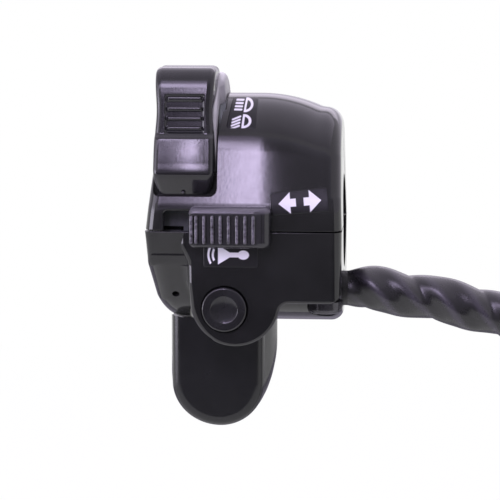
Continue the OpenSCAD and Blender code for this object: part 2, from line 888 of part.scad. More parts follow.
// pins of the connector in their cavities
module connector_pins() {
  color([0.8, 0.62, 0.3])
    for (col = [-1:1])
      for (row = [-0.5, 0.5])
        translate([plug_x + col * plug_w / 3.4, outlet_y + row * plug_t / 2.2, plug_top - 2.5 - plug_l])
          cylinder(r = 1, h = 9.5);
}

upper_shell();
lower_shell();
clamp_screws();
dimmer_lever();
dimmer_pin();
dimmer_board();
dimmer_contacts();
dimmer_wiper();
dimmer_detent();
turn_knob();
turn_carrier();
turn_wiper();
turn_board();
turn_contacts();
turn_ball();
turn_spring();
horn_button();
horn_disc();
horn_spring();
horn_base();
horn_terminal();
choke_lever();
choke_washer();
lead_grommet();
inner_wires();
lead_sleeve();
lead_connector();
connector_pins();
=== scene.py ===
import bmesh
import bpy
import numpy as np
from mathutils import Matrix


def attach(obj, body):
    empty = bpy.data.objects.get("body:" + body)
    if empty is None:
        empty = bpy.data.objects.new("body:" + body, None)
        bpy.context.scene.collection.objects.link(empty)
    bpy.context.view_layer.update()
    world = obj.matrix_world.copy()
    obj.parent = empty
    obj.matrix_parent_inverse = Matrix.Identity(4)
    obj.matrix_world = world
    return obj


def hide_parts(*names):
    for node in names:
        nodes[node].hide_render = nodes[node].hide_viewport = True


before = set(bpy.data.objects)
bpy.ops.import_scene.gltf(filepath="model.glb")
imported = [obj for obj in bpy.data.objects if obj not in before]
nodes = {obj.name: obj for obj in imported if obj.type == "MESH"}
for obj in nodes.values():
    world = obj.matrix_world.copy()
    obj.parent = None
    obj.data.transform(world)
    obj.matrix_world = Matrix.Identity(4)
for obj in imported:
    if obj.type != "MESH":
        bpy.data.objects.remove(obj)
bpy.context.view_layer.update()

mm = 0.001

# Camera at the photograph's place: a long lens a little to the right of the
# cluster and a little above it.
eye_turn, eye_rise, eye_range = np.radians(4.5), np.radians(7.0), 480 * mm
eye_pitch, eye_yaw = np.radians(90 - 7.888), np.radians(4.52)
eye = bpy.data.objects.new("Camera", bpy.data.cameras.new("Camera"))
eye.data.sensor_width = 36
eye.data.lens = 144
eye.location = (
    eye_range * np.sin(eye_turn) * np.cos(eye_rise),
    -eye_range * np.cos(eye_turn) * np.cos(eye_rise),
    eye_range * np.sin(eye_rise),
)
eye.rotation_euler = (eye_pitch, 0, eye_yaw)
bpy.context.scene.collection.objects.link(eye)
bpy.context.scene.camera = eye
bpy.context.scene.view_settings.view_transform = "Standard"


# Lead: a soft vinyl sleeve over a twisted bundle of wires, so a groove winds round
# its outside and the vinyl lies in folds. The outlet's grommet holds it, and it hangs.
def closed_mesh(name, points, faces, smooth=True):
    """Mesh object from points in millimetres and faces, turned outwards."""
    mesh = bpy.data.meshes.new(name)
    mesh.from_pydata((np.asarray(points) * mm).tolist(), [], faces)
    form = bmesh.new()
    form.from_mesh(mesh)
    bmesh.ops.remove_doubles(form, verts=form.verts, dist=1e-7)
    bmesh.ops.recalc_face_normals(form, faces=form.faces)
    if form.calc_volume(signed=True) < 0:
        bmesh.ops.reverse_faces(form, faces=form.faces)
    form.to_mesh(mesh)
    form.free()
    mesh.polygons.foreach_set("use_smooth", np.full(len(mesh.polygons), smooth))
    piece = bpy.data.objects.new(name, mesh)
    bpy.context.scene.collection.objects.link(piece)
    return piece


def lofted(name, rings, smooth=True):
    """Closed form through rings of points: each ring is joined to the next by
    four-sided faces, and the first and last ring are filled flat."""
    rings = np.asarray(rings, float)
    rows, cols = rings.shape[:2]
    row, col = np.meshgrid(np.arange(rows - 1), np.arange(cols), indexing="ij")
    near = row * cols + col
    far = row * cols + (col + 1) % cols
    sides = np.stack([near, far, far + cols, near + cols], -1).reshape(-1, 4).tolist()
    ends = [list(range(cols))[::-1], list(range((rows - 1) * cols, rows * cols))]
    return closed_mesh(name, rings.reshape(-1, 3), sides + ends, smooth)


def smooth_route(knots, steps):
    """Curve through the knots, each span a cubic whose end slopes are half the step between the knots on either side
    (end knots repeated)."""
    p = np.concatenate([knots[:1], knots, knots[-1:]])
    t = np.linspace(0, 1, steps, endpoint=False)[None, :, None]
    a, b, c, d = (p[k:k - 3 or None][:, None, :] for k in range(4))
    run = 0.5 * (2 * b + (c - a) * t + (2 * a - 5 * b + 4 * c - d) * t ** 2
                 + (3 * b - a - 3 * c + d) * t ** 3)
    return np.concatenate([run.reshape(-1, knots.shape[1]), knots[-1:]])


def ramp(tree, fac, stops):
    """Colours by a value, blended between stops of (value, colour)."""
    scale = tree.nodes.new("ShaderNodeValToRGB")
    while len(scale.color_ramp.elements) < len(stops):
        scale.color_ramp.elements.new(0.5)
    for stop, (at, tint) in zip(scale.color_ramp.elements, stops):
        stop.position, stop.color = at, (*tint, 1)
    tree.links.new(fac, scale.inputs["Fac"])
    return scale.outputs["Color"]


def noise(tree, scale, detail):
    """Cloudy value between nought and one on the piece's own coordinates."""
    cloud = tree.nodes.new("ShaderNodeTexNoise")
    cloud.inputs["Scale"].default_value = scale
    cloud.inputs["Detail"].default_value = detail
    tree.links.new(tree.nodes.new("ShaderNodeTexCoord").outputs["Object"], cloud.inputs["Vector"])
    return cloud.outputs["Fac"]


def finish(name, colour, rough, grain, grain_size, shade, spread=0.15, metal=0.0, specular=0.5):
    """Procedural finish on Object coordinates: the colour drifts between a dark and a
    light shade with a coarse noise, the roughness with a second one, and a fine noise
    gives the grain in the surface."""
    drift_scale, sheen_scale, grain_scale = 140, 420, 1000 / grain_size
    mat = bpy.data.materials.new(name)
    mat.use_nodes = True
    tree = mat.node_tree
    shader = tree.nodes["Principled BSDF"]
    shader.inputs["Metallic"].default_value = metal
    shader.inputs["Specular IOR Level"].default_value = specular
    dark, light = tuple(np.array(colour) * (1 - shade)), tuple(np.array(colour) * (1 + shade))
    drift = ramp(tree, noise(tree, drift_scale, 3.0), [(0.3, dark), (0.7, light)])
    tree.links.new(drift, shader.inputs["Base Color"])
    low, high = max(rough - spread, 0.02), rough + spread
    sheen = ramp(tree, noise(tree, sheen_scale, 4.0), [(0.3, (low,) * 3), (0.75, (high,) * 3)])
    tree.links.new(sheen, shader.inputs["Roughness"])
    relief = tree.nodes.new("ShaderNodeBump")
    relief.inputs["Strength"].default_value = grain
    relief.inputs["Distance"].default_value = 0.2 * mm
    tree.links.new(noise(tree, grain_scale, 2.0), relief.inputs["Height"])
    tree.links.new(relief.outputs["Normal"], shader.inputs["Normal"])
    return mat


def kept_value(mat, name):
    """Value that the piece's points keep under a name."""
    kept = mat.node_tree.nodes.new("ShaderNodeAttribute")
    kept.attribute_name = name
    return kept.outputs["Fac"]


def tinted(mat, mask, colour):
    """Turns the finish towards another colour where the mask is high."""
    tree = mat.node_tree
    shader = tree.nodes["Principled BSDF"]
    mix = tree.nodes.new("ShaderNodeMix")
    mix.data_type = "RGBA"
    mix.inputs["B"].default_value = (*colour, 1)
    tree.links.new(shader.inputs["Base Color"].links[0].from_socket, mix.inputs["A"])
    tree.links.new(mask, mix.inputs["Factor"])
    tree.links.new(mix.outputs["Result"], shader.inputs["Base Color"])


def clad(piece, mat):
    """Gives the piece this material and no other."""
    piece.data.materials.clear()
    piece.data.materials.append(mat)


lead_y, lead_core = -6.5, 3.95
groove_start, groove_pitch = 15.8, 16.6
lead_knots = np.array([
    (22.0, -15.4), (30, -15.6), (38, -16.8), (46, -18.2), (54, -19.9), (61, -22), (68, -25.4), (74.5, -31),
    (79.5, -39), (82, -48), (82.5, -58), (82.5, -80), (82.5, -102), (82.5, -124), (82.5, -146),
])
route = smooth_route(lead_knots, 24)
step = np.gradient(route, axis=0)
step /= np.linalg.norm(step, axis=1)[:, None]
run = np.concatenate([[0], np.cumsum(np.linalg.norm(np.diff(route, axis=0), axis=1))])

# Radius of the sleeve: a core, a lobe between the turns of the winding groove (the
# sine's square to a low power, so that the groove is narrow), and folds that cross the
# groove at a slant on the viewer's side. Lobes and folds swell from nothing at both
# ends and grow weaker along the hanging part.
along, around = run[:, None], np.linspace(0, 2 * np.pi, 72, endpoint=False)[None, :]
winding = (along - groove_start) / groove_pitch - around / (2 * np.pi) - 0.03 * (np.cos(around) - 1)
swell = (1 - np.exp(-(along / 4.4) ** 2)) * (1 - np.exp(-((along[-1] - along) / 5) ** 2))
fading = np.interp(along, [50, 90], [1, 0.55])
lobes = (np.sin(np.pi * winding) ** 2 + 0.004) ** 0.4
front = np.clip(np.sin(around), 0, 1) ** 1.5
fold_wave = np.sin(4 * np.pi * (winding + 0.2 * np.cos(around)) - 3.1)
folds = (0.05 + 0.27 * front) * fold_wave + 0.06 * np.sin(around * 2 + along * 0.31)
lead_r = lead_core + swell * (0.4 + fading * (1.2 * lobes + folds) + 0.4 * (1 - fading))
up_side = np.stack([-step[:, 1], np.zeros(len(run)), step[:, 0]], -1)[:, None]
toward = np.array([0.0, -1.0, 0.0])
spokes = np.cos(around)[..., None] * up_side + np.sin(around)[..., None] * toward
centre = np.stack([route[:, 0], np.full(len(run), lead_y), route[:, 1]], -1)
sleeve = lofted("lead_sleeve_soft", centre[:, None] + lead_r[..., None] * spokes)
# Painted highlight: a lavender lightening along the crests of the folds stands in for the light's satin reflections on
# them. It is stronger on the front and weaker along the hanging part.
painted_fold_highlight = np.clip(fold_wave, 0, 1) ** 2 * (0.4 + 0.6 * front) * np.clip(along / 6, 0, 1) * fading
sleeve.data.attributes.new("painted_fold_highlight", "FLOAT", "POINT").data.foreach_set("value", painted_fold_highlight.astype(np.float32).ravel())
sleeve_vinyl = finish("sleeve_vinyl", (0.0095, 0.009, 0.0105), 0.29, 0.03, 2.5, 0.15, 0.04, specular=0.6)
tinted(sleeve_vinyl, kept_value(sleeve_vinyl, "painted_fold_highlight"), (0.045, 0.041, 0.052))
clad(sleeve, sleeve_vinyl)
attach(sleeve, "housing")
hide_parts("lead_sleeve")


# Connector: a six-way plug moulded in pale nylon with a latch, a flange round it and
# crimped pins in its cavities. It snaps to its other half inside the lamp shell.
def carve(piece, tool, how="DIFFERENCE"):
    """Takes a closed form out of the piece, or joins it to the piece, and drops it."""
    cut = piece.modifiers.new("carve", "BOOLEAN")
    cut.operation, cut.object, cut.solver = how, tool, "EXACT"
    seen = piece.evaluated_get(bpy.context.evaluated_depsgraph_get())
    shaped = bpy.data.meshes.new_from_object(seen)
    piece.modifiers.clear()
    spent, piece.data = (piece.data, tool.data), shaped
    bpy.data.objects.remove(tool)
    for mesh in spent:
        bpy.data.meshes.remove(mesh)


def ring(axis, at, a, b, radius, count=72):
    """Circle square to an axis (0 for X, 1 for Y, 2 for Z) at a place along it; a and
    b are its centre on the other two axes in order."""
    t = np.linspace(0, 2 * np.pi, count, endpoint=False)
    flat = [a + radius * np.cos(t), b + radius * np.sin(t)]
    flat.insert(axis, np.full(count, float(at)))
    return np.stack(flat, -1)


def turned(name, axis, a, b, profile, count=72):
    """Lathe form: a circle of each radius at each place of the profile along the axis."""
    return lofted(name, [ring(axis, at, a, b, radius, count) for at, radius in profile])


def panel_outline(x0, x1, z0, z1, corners, steps=8):
    """Rectangle with corner radii for left bottom, right bottom, right top, left top:
    each corner is a quarter circle about a centre set in by its radius."""
    t = np.linspace(0, np.pi / 2, steps)
    places = ((x0, z0, 1, 1, np.pi), (x1, z0, -1, 1, 1.5 * np.pi), (x1, z1, -1, -1, 0), (x0, z1, 1, -1, np.pi / 2))
    parts = []
    for (x, z, sx, sz, start), r in zip(places, corners):
        r = max(r, 0.01)
        parts.append(np.stack([x + sx * r + r * np.cos(start + t), z + sz * r + r * np.sin(start + t)], -1))
    return np.concatenate(parts)


def slab(name, low, high):
    """Plain block between two corners."""
    (x0, y0, z0), (x1, y1, z1) = low, high
    base = np.array([(x0, y0), (x1, y0), (x1, y1), (x0, y1)], float)
    return lofted(name, [np.column_stack([base, np.full(4, float(z))]) for z in (z0, z1)], False)


def shaded(piece, angle=32):
    """Smooth faces, creased where two meet at more than the angle, with the large
    faces deciding the direction along their rims."""
    piece.data.polygons.foreach_set("use_smooth", np.full(len(piece.data.polygons), True))
    piece.data.set_sharp_from_angle(angle=np.radians(angle))
    even = piece.modifiers.new("even", "WEIGHTED_NORMAL")
    even.keep_sharp = True


plug_x, plug_low, plug_half = 82.5, -171.0, np.array([9.0, 6.0])
plug_middle = np.array([plug_x, lead_y])
(x0, y0), (x1, y1) = plug_middle - plug_half, plug_middle + plug_half
plug_flat = panel_outline(x0, x1, y0, y1, (1.2,) * 4)
# Height and growth of the outline: chamfered nose, body, flange, body, shoulder.
plug_layers = [
    (plug_low, -0.9), (-170.6, -0.5), (-170.1, -0.4), (-161.2, -0.4), (-161.0, -0.1), (-160.8, 0.0), (-159.6, 0.0),
    (-159.4, -0.1), (-159.2, -0.4), (-150.3, -0.4), (-149.5, -0.8), (-149.0, -1.6),
]
plug_rings = []
for z, grow in plug_layers:
    flat = plug_middle + (plug_flat - plug_middle) * (1 + grow / plug_half)
    plug_rings.append(np.column_stack([flat, np.full(len(flat), z)]))
plug = lofted("connector_shell", plug_rings)
collar = [(-150.5, 5.7), (-146.6, 5.7), (-146.2, 5.5), (-146.0, 5.1)]
carve(plug, turned("collar", 2, plug_x, lead_y, collar, 48), "UNION")
latch_x0, latch_x1 = 79.5, 85.5
latch = np.array([
    (-11.5, -152), (-12.6, -152.3), (-14.1, -156), (-14.3, -157), (-14.3, -163.2), (-13.6, -164.6), (-12.6, -165),
    (-11.5, -165),
])
latch_ends = [np.column_stack([np.full(len(latch), x), latch]) for x in (latch_x0, latch_x1)]
carve(plug, lofted("latch", latch_ends), "UNION")
for z in (-158.0, -159.6, -161.2):
    carve(plug, slab("grip", (latch_x0 - 0.5, -14.6, z), (latch_x1 + 0.5, -14.0, z + 0.6)))
for x in (plug_x - 5, plug_x, plug_x + 5):
    carve(plug, slab("rib_gap", (x - 1.6, lead_y + 5.2, -158), (x + 1.6, lead_y + 7, -151)))
cavity = [(plug_low - 1, 2.1), (-169.6, 2.1), (-169.5, 1.6), (-160, 1.6)]
for x in (-1, 0, 1):
    for y in (-0.5, 0.5):
        carve(plug, turned("cavity", 2, plug_x + x * 18 / 3.4, lead_y + y * 12 / 2.2, cavity, 32))
shaded(plug, 35)
clad(plug, finish("connector_plastic", (0.60, 0.59, 0.53), 0.42, 0.15, 1.2, 0.06))
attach(plug, "housing")
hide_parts("lead_connector")
contact_brass = finish("contact_brass", (0.72, 0.50, 0.20), 0.28, 0.1, 0.6, 0.12, 0.1, 1.0)
clad(nodes["connector_pins"], contact_brass)


# Upper shell: an aluminium die casting painted gloss black. It is open at the left
# for the drum, notched at the split for the slider, and bored for the bar.
left_end, right_end, front_y, split, foot, bar_r = -22.6, 22.6, -24.0, 0.15, 0.15, 11.1


def wrapped(rods, radii, first, last, counts, sense):
    """Outline of a band wrapped round circles, for every station at once. Circle i
    is followed between the normals of the two straight runs that it shares with
    its neighbours: direction of their centres, turned by the angle whose cosine is
    the difference of the radii over the distance."""
    apart = rods[:, :-1] - rods[:, 1:]
    reach = (radii[:, 1:] - radii[:, :-1]) / np.hypot(apart[..., 0], apart[..., 1])
    turns = (np.arctan2(apart[..., 1], apart[..., 0]) + sense * np.arccos(reach)) % (2 * np.pi)
    turns = np.column_stack([np.full(len(rods), first), turns, np.full(len(rods), last)])
    arcs = []
    for i, count in enumerate(counts):
        t = np.linspace(0, 1, count)
        a = turns[:, i, None] * (1 - t) + turns[:, i + 1, None] * t
        spokes = np.stack([np.cos(a), np.sin(a)], -1)
        arcs.append(rods[:, i, None, :] + radii[:, i, None, None] * spokes)
    return arcs


def end_drop(along, fillet):
    """How far a fillet of that radius has fallen at a distance from the end face."""
    short = np.clip(fillet - np.maximum(along, 0), 0, None)
    return fillet - np.sqrt(fillet ** 2 - short ** 2)


def rolled_foot(inset, edge_y, level, sign, inward):
    """Rows of the rounded edge at the split: a quarter circle from the split plane
    to the wall, at a height above or below the split and a distance into the wall."""
    t = np.linspace(0, np.pi / 2, 6)
    z = level + sign * inset * (1 - np.cos(t))
    y = edge_y[:, None] + inward * inset * (1 - np.sin(t))
    return np.stack([y, np.broadcast_to(z, y.shape)], -1)


def stations_along(left, right, counts):
    """Places along the bar, crowded by a cosine within the fillet at either end."""
    near, far = (1 - np.cos(np.linspace(0, np.pi / 2, count)) for count in (counts[0], counts[2]))
    between = np.linspace(left_end + left, right_end - right, counts[1])[1:-1]
    return np.concatenate([left_end + left * near, between, (right_end - right * far)[::-1]])


def cast_skin(stations, rods, radii, left_fillet, right_fillet, last, counts, side):
    """Skin of the shell above (side 1) or below (side -1) the split. At each station the
    outline is a band wrapped round circles, which shrink by a fillet towards either end,
    with a rolled edge at the split before and behind."""
    drops = np.where(
        (stations < 0)[:, None],
        end_drop((stations - left_end)[:, None], np.array([left_fillet])),
        end_drop((right_end - stations)[:, None], np.array([right_fillet])),
    )
    arcs = wrapped(rods, np.array([radii], float) - drops, np.pi, last, counts, -side)
    front_foot = rolled_foot(foot, front_y + drops[:, 0], side * split, side, 1)
    start, way = arcs[-2][:, -1], arcs[-1][:, 0] - arcs[-2][:, -1]
    back_y = start[:, 0] + way[:, 0] * (side * (split + foot) - start[:, 1]) / way[:, 1]
    back_foot = rolled_foot(foot, back_y, side * split, side, -1)[:, ::-1]
    outline = np.concatenate([front_foot, *arcs[:-1], back_foot], 1)
    x = np.broadcast_to(stations[:, None, None], outline.shape[:2] + (1,))
    return np.concatenate([x, outline], -1)


# The two upper circles sink past the crest by the square of the distance, and both ends
# of the skin lean with the height.
stations = stations_along(3.0, 4.5, (12, 42, 18))
crest_x, crest_end, crest_fall = 3.0, 17.6, 3.2
fall = crest_fall * np.clip((stations - crest_x) / (crest_end - crest_x), 0, 1) ** 2
rods = np.array([(-14, 4), (-4.2, 13.5), (4, 15), (9.5, -4)], float)[None].repeat(len(stations), 0)
rods[:, 1:3, 1] -= fall[:, None]
upper_skin = cast_skin(stations, rods, (10, 17, 15, 10), (3.0,) * 4, (3.0, 4.5, 4.5, 3.0), -0.2, (10, 28, 30, 3), 1)
upper_skin[..., 0] += 0.12 * upper_skin[..., 2] * np.clip(-upper_skin[..., 0] / right_end, 0, 1)
right_lean = np.clip(upper_skin[..., 2] / 17, 0, 1) * np.clip(upper_skin[..., 0] / right_end, 0, 1) ** 4
upper_skin[..., 0] -= 0.5 * right_lean
upper = lofted("upper_shell_cast", upper_skin)


def at_y(outline, y):
    """Outline (x, z) with a place on Y, one for all its points or one for each."""
    return np.stack([outline[:, 0], np.broadcast_to(y, len(outline)), outline[:, 1]], -1)


def pushed(name, outline, layers):
    """Outline (x, z) pushed along Y: one ring for each layer of a place on Y and an
    amount by which the outline grows about its middle."""
    middle = (outline.min(0) + outline.max(0)) / 2
    half = (outline.max(0) - outline.min(0)) / 2
    return lofted(name, [at_y(middle + (outline - middle) * (1 + grow / half), y) for y, grow in layers])


pivot_y, pivot_z = -7.0, 20.5
cable_x, cable_z, collar_x0, collar_x1, collar_room_r = -16.4, 13.05, -19.8, -0.9, 14.6
bar_hole = [(left_end - 1, bar_r), (right_end + 1, bar_r)]
collar_room = [(collar_x0, collar_room_r), (collar_x1, collar_room_r)]
boss = [(12, 4.4), (20.4, 4.4), (20.85, 4.2), (21, 3.9)]
carve(upper, turned("boss", 1, cable_x, cable_z, boss, 48), "UNION")
carve(upper, turned("bar", 0, 0, 0, bar_hole, 96))
carve(upper, turned("collar_room", 0, 0, 0, collar_room, 96))
drum_room = turned("drum_room", 0, pivot_y, pivot_z, [(-18.9, 15.4), (-4.7, 15.4)], 120)
carve(drum_room, turned("drum_wall", 0, 0, 0, [(-21, 16.2), (0, 16.2)], 96))
cheek = np.array([
    (-5.95, -40), (20, -40), (20, 30), (-4.5, 30), (-4.9, 28), (-5.4, 25.5), (-5.8, 23), (-5.95, 21)], float)
carve(drum_room, lofted("cheek", [at_y(cheek, y) for y in (-40.0, -14.8)]))
carve(upper, drum_room)
carve(upper, slab("left_opening", (-30, -40, 24), (-18.6, 40, 60)))
pocket = panel_outline(-20.75, -5.95, 7.85, 28.5, (1.3, 1.8, 0.2, 0.2))
carve(upper, pushed("pocket", pocket, [(-40, 0), (-20.5, 0)]))
carve(upper, slab("bay", (-19.6, -21.8, -1), (7.2, -15.6, 7.3)))
notch = panel_outline(-18.1, 5.3, -3, 4.6, (0.1, 0.1, 0.9, 0.9))
notch_layers = [(-27, 0.4), (front_y, 0.4), (-23.93, 0.2), (-23.8, 0.06), (-23.6, 0), (-20, 0)]
carve(upper, pushed("notch", notch, notch_layers))
carve(upper, turned("cable_hole", 1, cable_x, cable_z, [(13.5, 2.6), (20.6, 2.6), (22, 4.0)], 40))
shaded(upper)
shell_paint = finish("shell_paint", (0.0105, 0.0108, 0.0108), 0.10, 0.022, 0.8, 0.25, 0.012)
clad(upper, shell_paint)
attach(upper, "housing")
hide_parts("upper_shell")


# Lower shell: the other painted casting. Its raised front panel and the round boss
# of the horn button are cast on, and it is bored for the bar, the lead and the screws.
# The left end of the skin leans in with the depth, a little at first and then by the
# depth to the power of 1.5.
stations = stations_along(5.0, 3.0, (20, 20, 12))
rods = np.array([(-18.6, -5.2), (-4.7, -8.74), (0, -10), (9.4, -10.1), (9.5, 4)], float)[None].repeat(len(stations), 0)
lower_skin = cast_skin(stations, rods, (4.7, 14, 14, 10, 10), (1.3, 5.0, 5.0, 5.0, 3.0), (2.5, 3.0, 3.0, 3.0, 3.0),
                       2 * np.pi, (10, 12, 14, 20, 2), -1)
depth = -lower_skin[..., 2]
lean = 0.5 * np.clip(depth / 5, 0, 1) + 3.4 * np.clip((depth - 12) / 13, 0, 1) ** 1.5
lower_skin[..., 0] += lean * np.clip(-lower_skin[..., 0] / right_end, 0, 1) ** 1.5
lower = lofted("lower_shell_cast", lower_skin)


def corner_arcs(corners, steps=10):
    """Outline through corner points (x, z, radius): each corner is replaced by the
    arc that touches both its sides."""
    c = np.array(corners, float)
    p, r = c[:, :2], c[:, 2]
    before, after = np.roll(p, 1, 0) - p, np.roll(p, -1, 0) - p
    before /= np.linalg.norm(before, axis=1)[:, None]
    after /= np.linalg.norm(after, axis=1)[:, None]
    half = np.arccos(np.clip((before * after).sum(1), -1, 1)) / 2
    mid = before + after
    mid /= np.linalg.norm(mid, axis=1)[:, None]
    hub = p + mid * (r / np.sin(half))[:, None]
    start = p + before * (r / np.tan(half))[:, None] - hub
    stop = p + after * (r / np.tan(half))[:, None] - hub
    a0 = np.arctan2(start[:, 1], start[:, 0])
    swing = (np.arctan2(stop[:, 1], stop[:, 0]) - a0 + np.pi) % (2 * np.pi) - np.pi
    a = a0[:, None] + swing[:, None] * np.linspace(0, 1, steps)[None]
    return (hub[:, None] + r[:, None, None] * np.stack([np.cos(a), np.sin(a)], -1)).reshape(-1, 2)


panel_front, horn_x, horn_z = -24.03, -4.2, -18.0
boss_x, boss_z, boss_r = -1.85, -16.4, 10.3
panel_low, web_r = -16.6, 2.5
web_z = panel_low - web_r
web_x = boss_x + np.sqrt((boss_r + web_r) ** 2 - (web_z - boss_z) ** 2)
web_turn = np.arctan2(web_z - boss_z, web_x - boss_x)
sill = (-12.65, -12.0)
reach = np.hypot(sill[0] - boss_x, sill[1] - boss_z)
sill_turn = np.arctan2(sill[1] - boss_z, sill[0] - boss_x) + np.arccos(boss_r / reach)
sides = corner_arcs([
    (right_end - 0.02, panel_low, 3.2), (right_end - 0.02, -0.2, 1.0), (-14.9, -0.2, 1.0), (-14.9, -3.6, 4.0),
    (-12.8, -7.4, 4.0), (*sill, 2.0), (-12.1, -19.1, 0.01), (web_x, panel_low, 0.01),
], 14).reshape(8, 14, 2)[:6].reshape(-1, 2)
under = np.linspace(sill_turn, 2 * np.pi + web_turn, 90)
web = np.linspace(np.pi + web_turn, np.pi / 2, 14)[1:]
panel = np.concatenate([
    sides,
    np.stack([boss_x + boss_r * np.cos(under), boss_z + boss_r * np.sin(under)], -1),
    np.stack([web_x + web_r * np.cos(web), web_z + web_r * np.sin(web)], -1),
])


def outline_normals(outline):
    """Unit normals of a closed outline, pointing out of it."""
    along = np.roll(outline, -1, 0) - np.roll(outline, 1, 0)
    along /= np.linalg.norm(along, axis=1)[:, None]
    x, z = outline.T
    sense = np.sign(np.sum(x * np.roll(z, -1) - z * np.roll(x, -1)))
    return sense * np.stack([along[:, 1], -along[:, 0]], -1)


out = outline_normals(panel)


def on_skin(rows, x, z):
    """Y of a skin's front at places (x, z): along each station's outline by height,
    then between the two nearest stations."""
    by_height = np.stack([np.interp(z, row[:, 2], row[:, 1]) for row in rows]).reshape(len(rows), -1)
    place = rows[:, rows.shape[1] // 2, 0]
    k = np.clip(np.searchsorted(place, x) - 1, 0, len(place) - 2)
    share = np.clip((x - place[k]) / (place[k + 1] - place[k]), 0, 1)
    flat = np.arange(x.size).reshape(x.shape)
    return by_height[k, flat] * (1 - share) + by_height[k + 1, flat] * share


# Front panel: rings of its outline from inside the casting forward. At the left a
# hollow cove, a quarter circle, leads from the belly to the panel's wall, and the edge is
# rolled by a quarter ellipse, wide at the sides and narrow along the split.
side_rim = np.where(out[:, 0] < 0, np.interp(panel[:, 1], [-9, -5], [1.5, 2.0]), 0.75)
edge_rim = np.where(out[:, 1] > 0, 0.15, 0.75)
belly_rows = lower_skin[:, 28:0:-1]
beside_belly = (out[:, 0] < -0.3) & (panel[:, 1] < -4)
cove = np.where(beside_belly, np.interp(-panel[:, 1], [4, 7, 15, 19], [0, 1.6, 1.8, 0]), 0.0)
wall = np.clip(on_skin(belly_rows, panel[:, 0] - cove, panel[:, 1]) - panel_front, 1.0, 14)
rings = [at_y(panel, panel_front + 16)]
for swing in np.linspace(0, np.pi / 2, 7):
    flat = panel + (cove * (1 - np.sin(swing)))[:, None] * out
    level = panel_front + np.maximum(wall - cove * (1 - np.cos(swing)), side_rim) + 0.02 * (1.6 - swing)
    rings.append(at_y(flat, level))
for share in (1.0, 0.72, 0.48, 0.3, 0.16, 0.06, 0.015, 0.0):
    inset = np.stack([end_drop(share * side_rim, side_rim), end_drop(share * edge_rim, edge_rim)], -1)
    flat = panel - inset * out
    level = panel_front + np.where(np.abs(out[:, 0]) > 0.5, share * side_rim, share * 0.75)
    rings.append(at_y(flat, level))
carve(lower, lofted("front_panel", rings), "UNION")
right_round, waste = 2.8, 2
t = np.linspace(0, np.pi / 2, 16)
arc_x = right_end - right_round * (1 - np.sin(t))
arc_y = panel_front + right_round * (1 - np.cos(t))
corner_x = np.concatenate([arc_x, [right_end + waste, right_end + waste, arc_x[0]]])
corner_y = np.concatenate([arc_y, [arc_y[-1], panel_front - waste, panel_front - waste]])
corner_ends = [np.stack([corner_x, corner_y, np.full(len(corner_x), z)], -1) for z in (-40.0, 5.0)]
carve(lower, lofted("right_corner", corner_ends))
carve(lower, turned("bar", 0, 0, 0, bar_hole, 96))
carve(lower, turned("collar_room", 0, 0, 0, collar_room, 96))
carve(lower, slab("lever_window", (-13.6, -13.5, -40), (-2.4, 13.5, -6)))
horn_hole = [(-26, 5.6), (panel_front, 5.5), (-23.85, 5.35), (-23.6, 5.3), (-20.2, 5.3), (-20.19, 6.1), (-2, 6.1)]
carve(lower, turned("horn_hole", 1, horn_x, horn_z, horn_hole, 72))
carve(lower, slab("bay", (-14.6, -21.8, -5.5), (7.2, -15.6, 4)))
carve(lower, slab("wire_way", (6.2, -21.7, -13), (13, -12.8, 4)))
carve(lower, turned("outlet", 0, lead_y, -15.4, [(12, 4.25), (22.2, 4.25), (22.5, 4.5), (24, 4.7)], 60))
screw_x, screw_y, screw_seat = 18.7, 14.4, -17.2
for y in (-screw_y, screw_y):
    carve(lower, turned("screw_seat", 2, screw_x, y, [(-30, 4.3), (screw_seat, 4.3)], 48))
drain_x, drain_r, drain_way = -16.2, 0.85, np.array([0, -0.734, -0.679])
t = np.linspace(0, 2 * np.pi, 32, endpoint=False)[:, None]
drain_ring = drain_r * (np.cos(t) * np.array([[1, 0, 0]]) + np.sin(t) * np.cross(drain_way, [1, 0, 0])[None])
carve(lower, lofted("drain", [np.array([drain_x, 0, 0]) + drain_way * r + drain_ring for r in (13.6, 30)]))
shaded(lower)
clad(lower, shell_paint)
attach(lower, "housing")
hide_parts("lower_shell")


# Labels: three thin plates of black film beside the switches, with white signs
# printed on them for the beam, the turn lamps and the horn. They are stuck on.
def on_upper(x, z):
    """Y of the upper shell's front at places (x, z)."""
    return on_skin(upper_skin[:, :44], x, z)


def bar_sign(x, z, x0, z0, x1, z1, thick):
    """Distance to a straight bar with round ends, less half its thickness."""
    ax, az, bx, bz = x - x0, z - z0, x1 - x0, z1 - z0
    t = np.clip((ax * bx + az * bz) / (bx * bx + bz * bz), 0, 1)
    return np.hypot(ax - t * bx, az - t * bz) - thick / 2


def lamp_sign(x, z, slant):
    """Lamp bowl (half an ellipse, drawn as a line) and four rays, level or falling."""
    reach = np.hypot((x - 0.35) / 1.9, z / 1.5)
    bowl = np.maximum(np.abs(reach - 0.85) * 1.6 - 0.27, 0.1 - x)
    back = bar_sign(x, z, 0.35, -1.15, 0.35, 1.15, 0.5)
    rays = [bar_sign(x, z, -0.5, r, -2.2, r - slant, 0.42) for r in (-1.02, -0.34, 0.34, 1.02)]
    return np.minimum.reduce([bowl, back, *rays])


def arrow_sign(x, z, way):
    """Arrow: a triangle with its point at the outer end, and a broad shaft."""
    along = way * x
    head = np.maximum(along - 4.9 + np.abs(z) * 1.15, 2.2 - along)
    return np.minimum(head, np.maximum(np.abs(z) - 0.85, np.abs(along - 1.65) - 0.75))


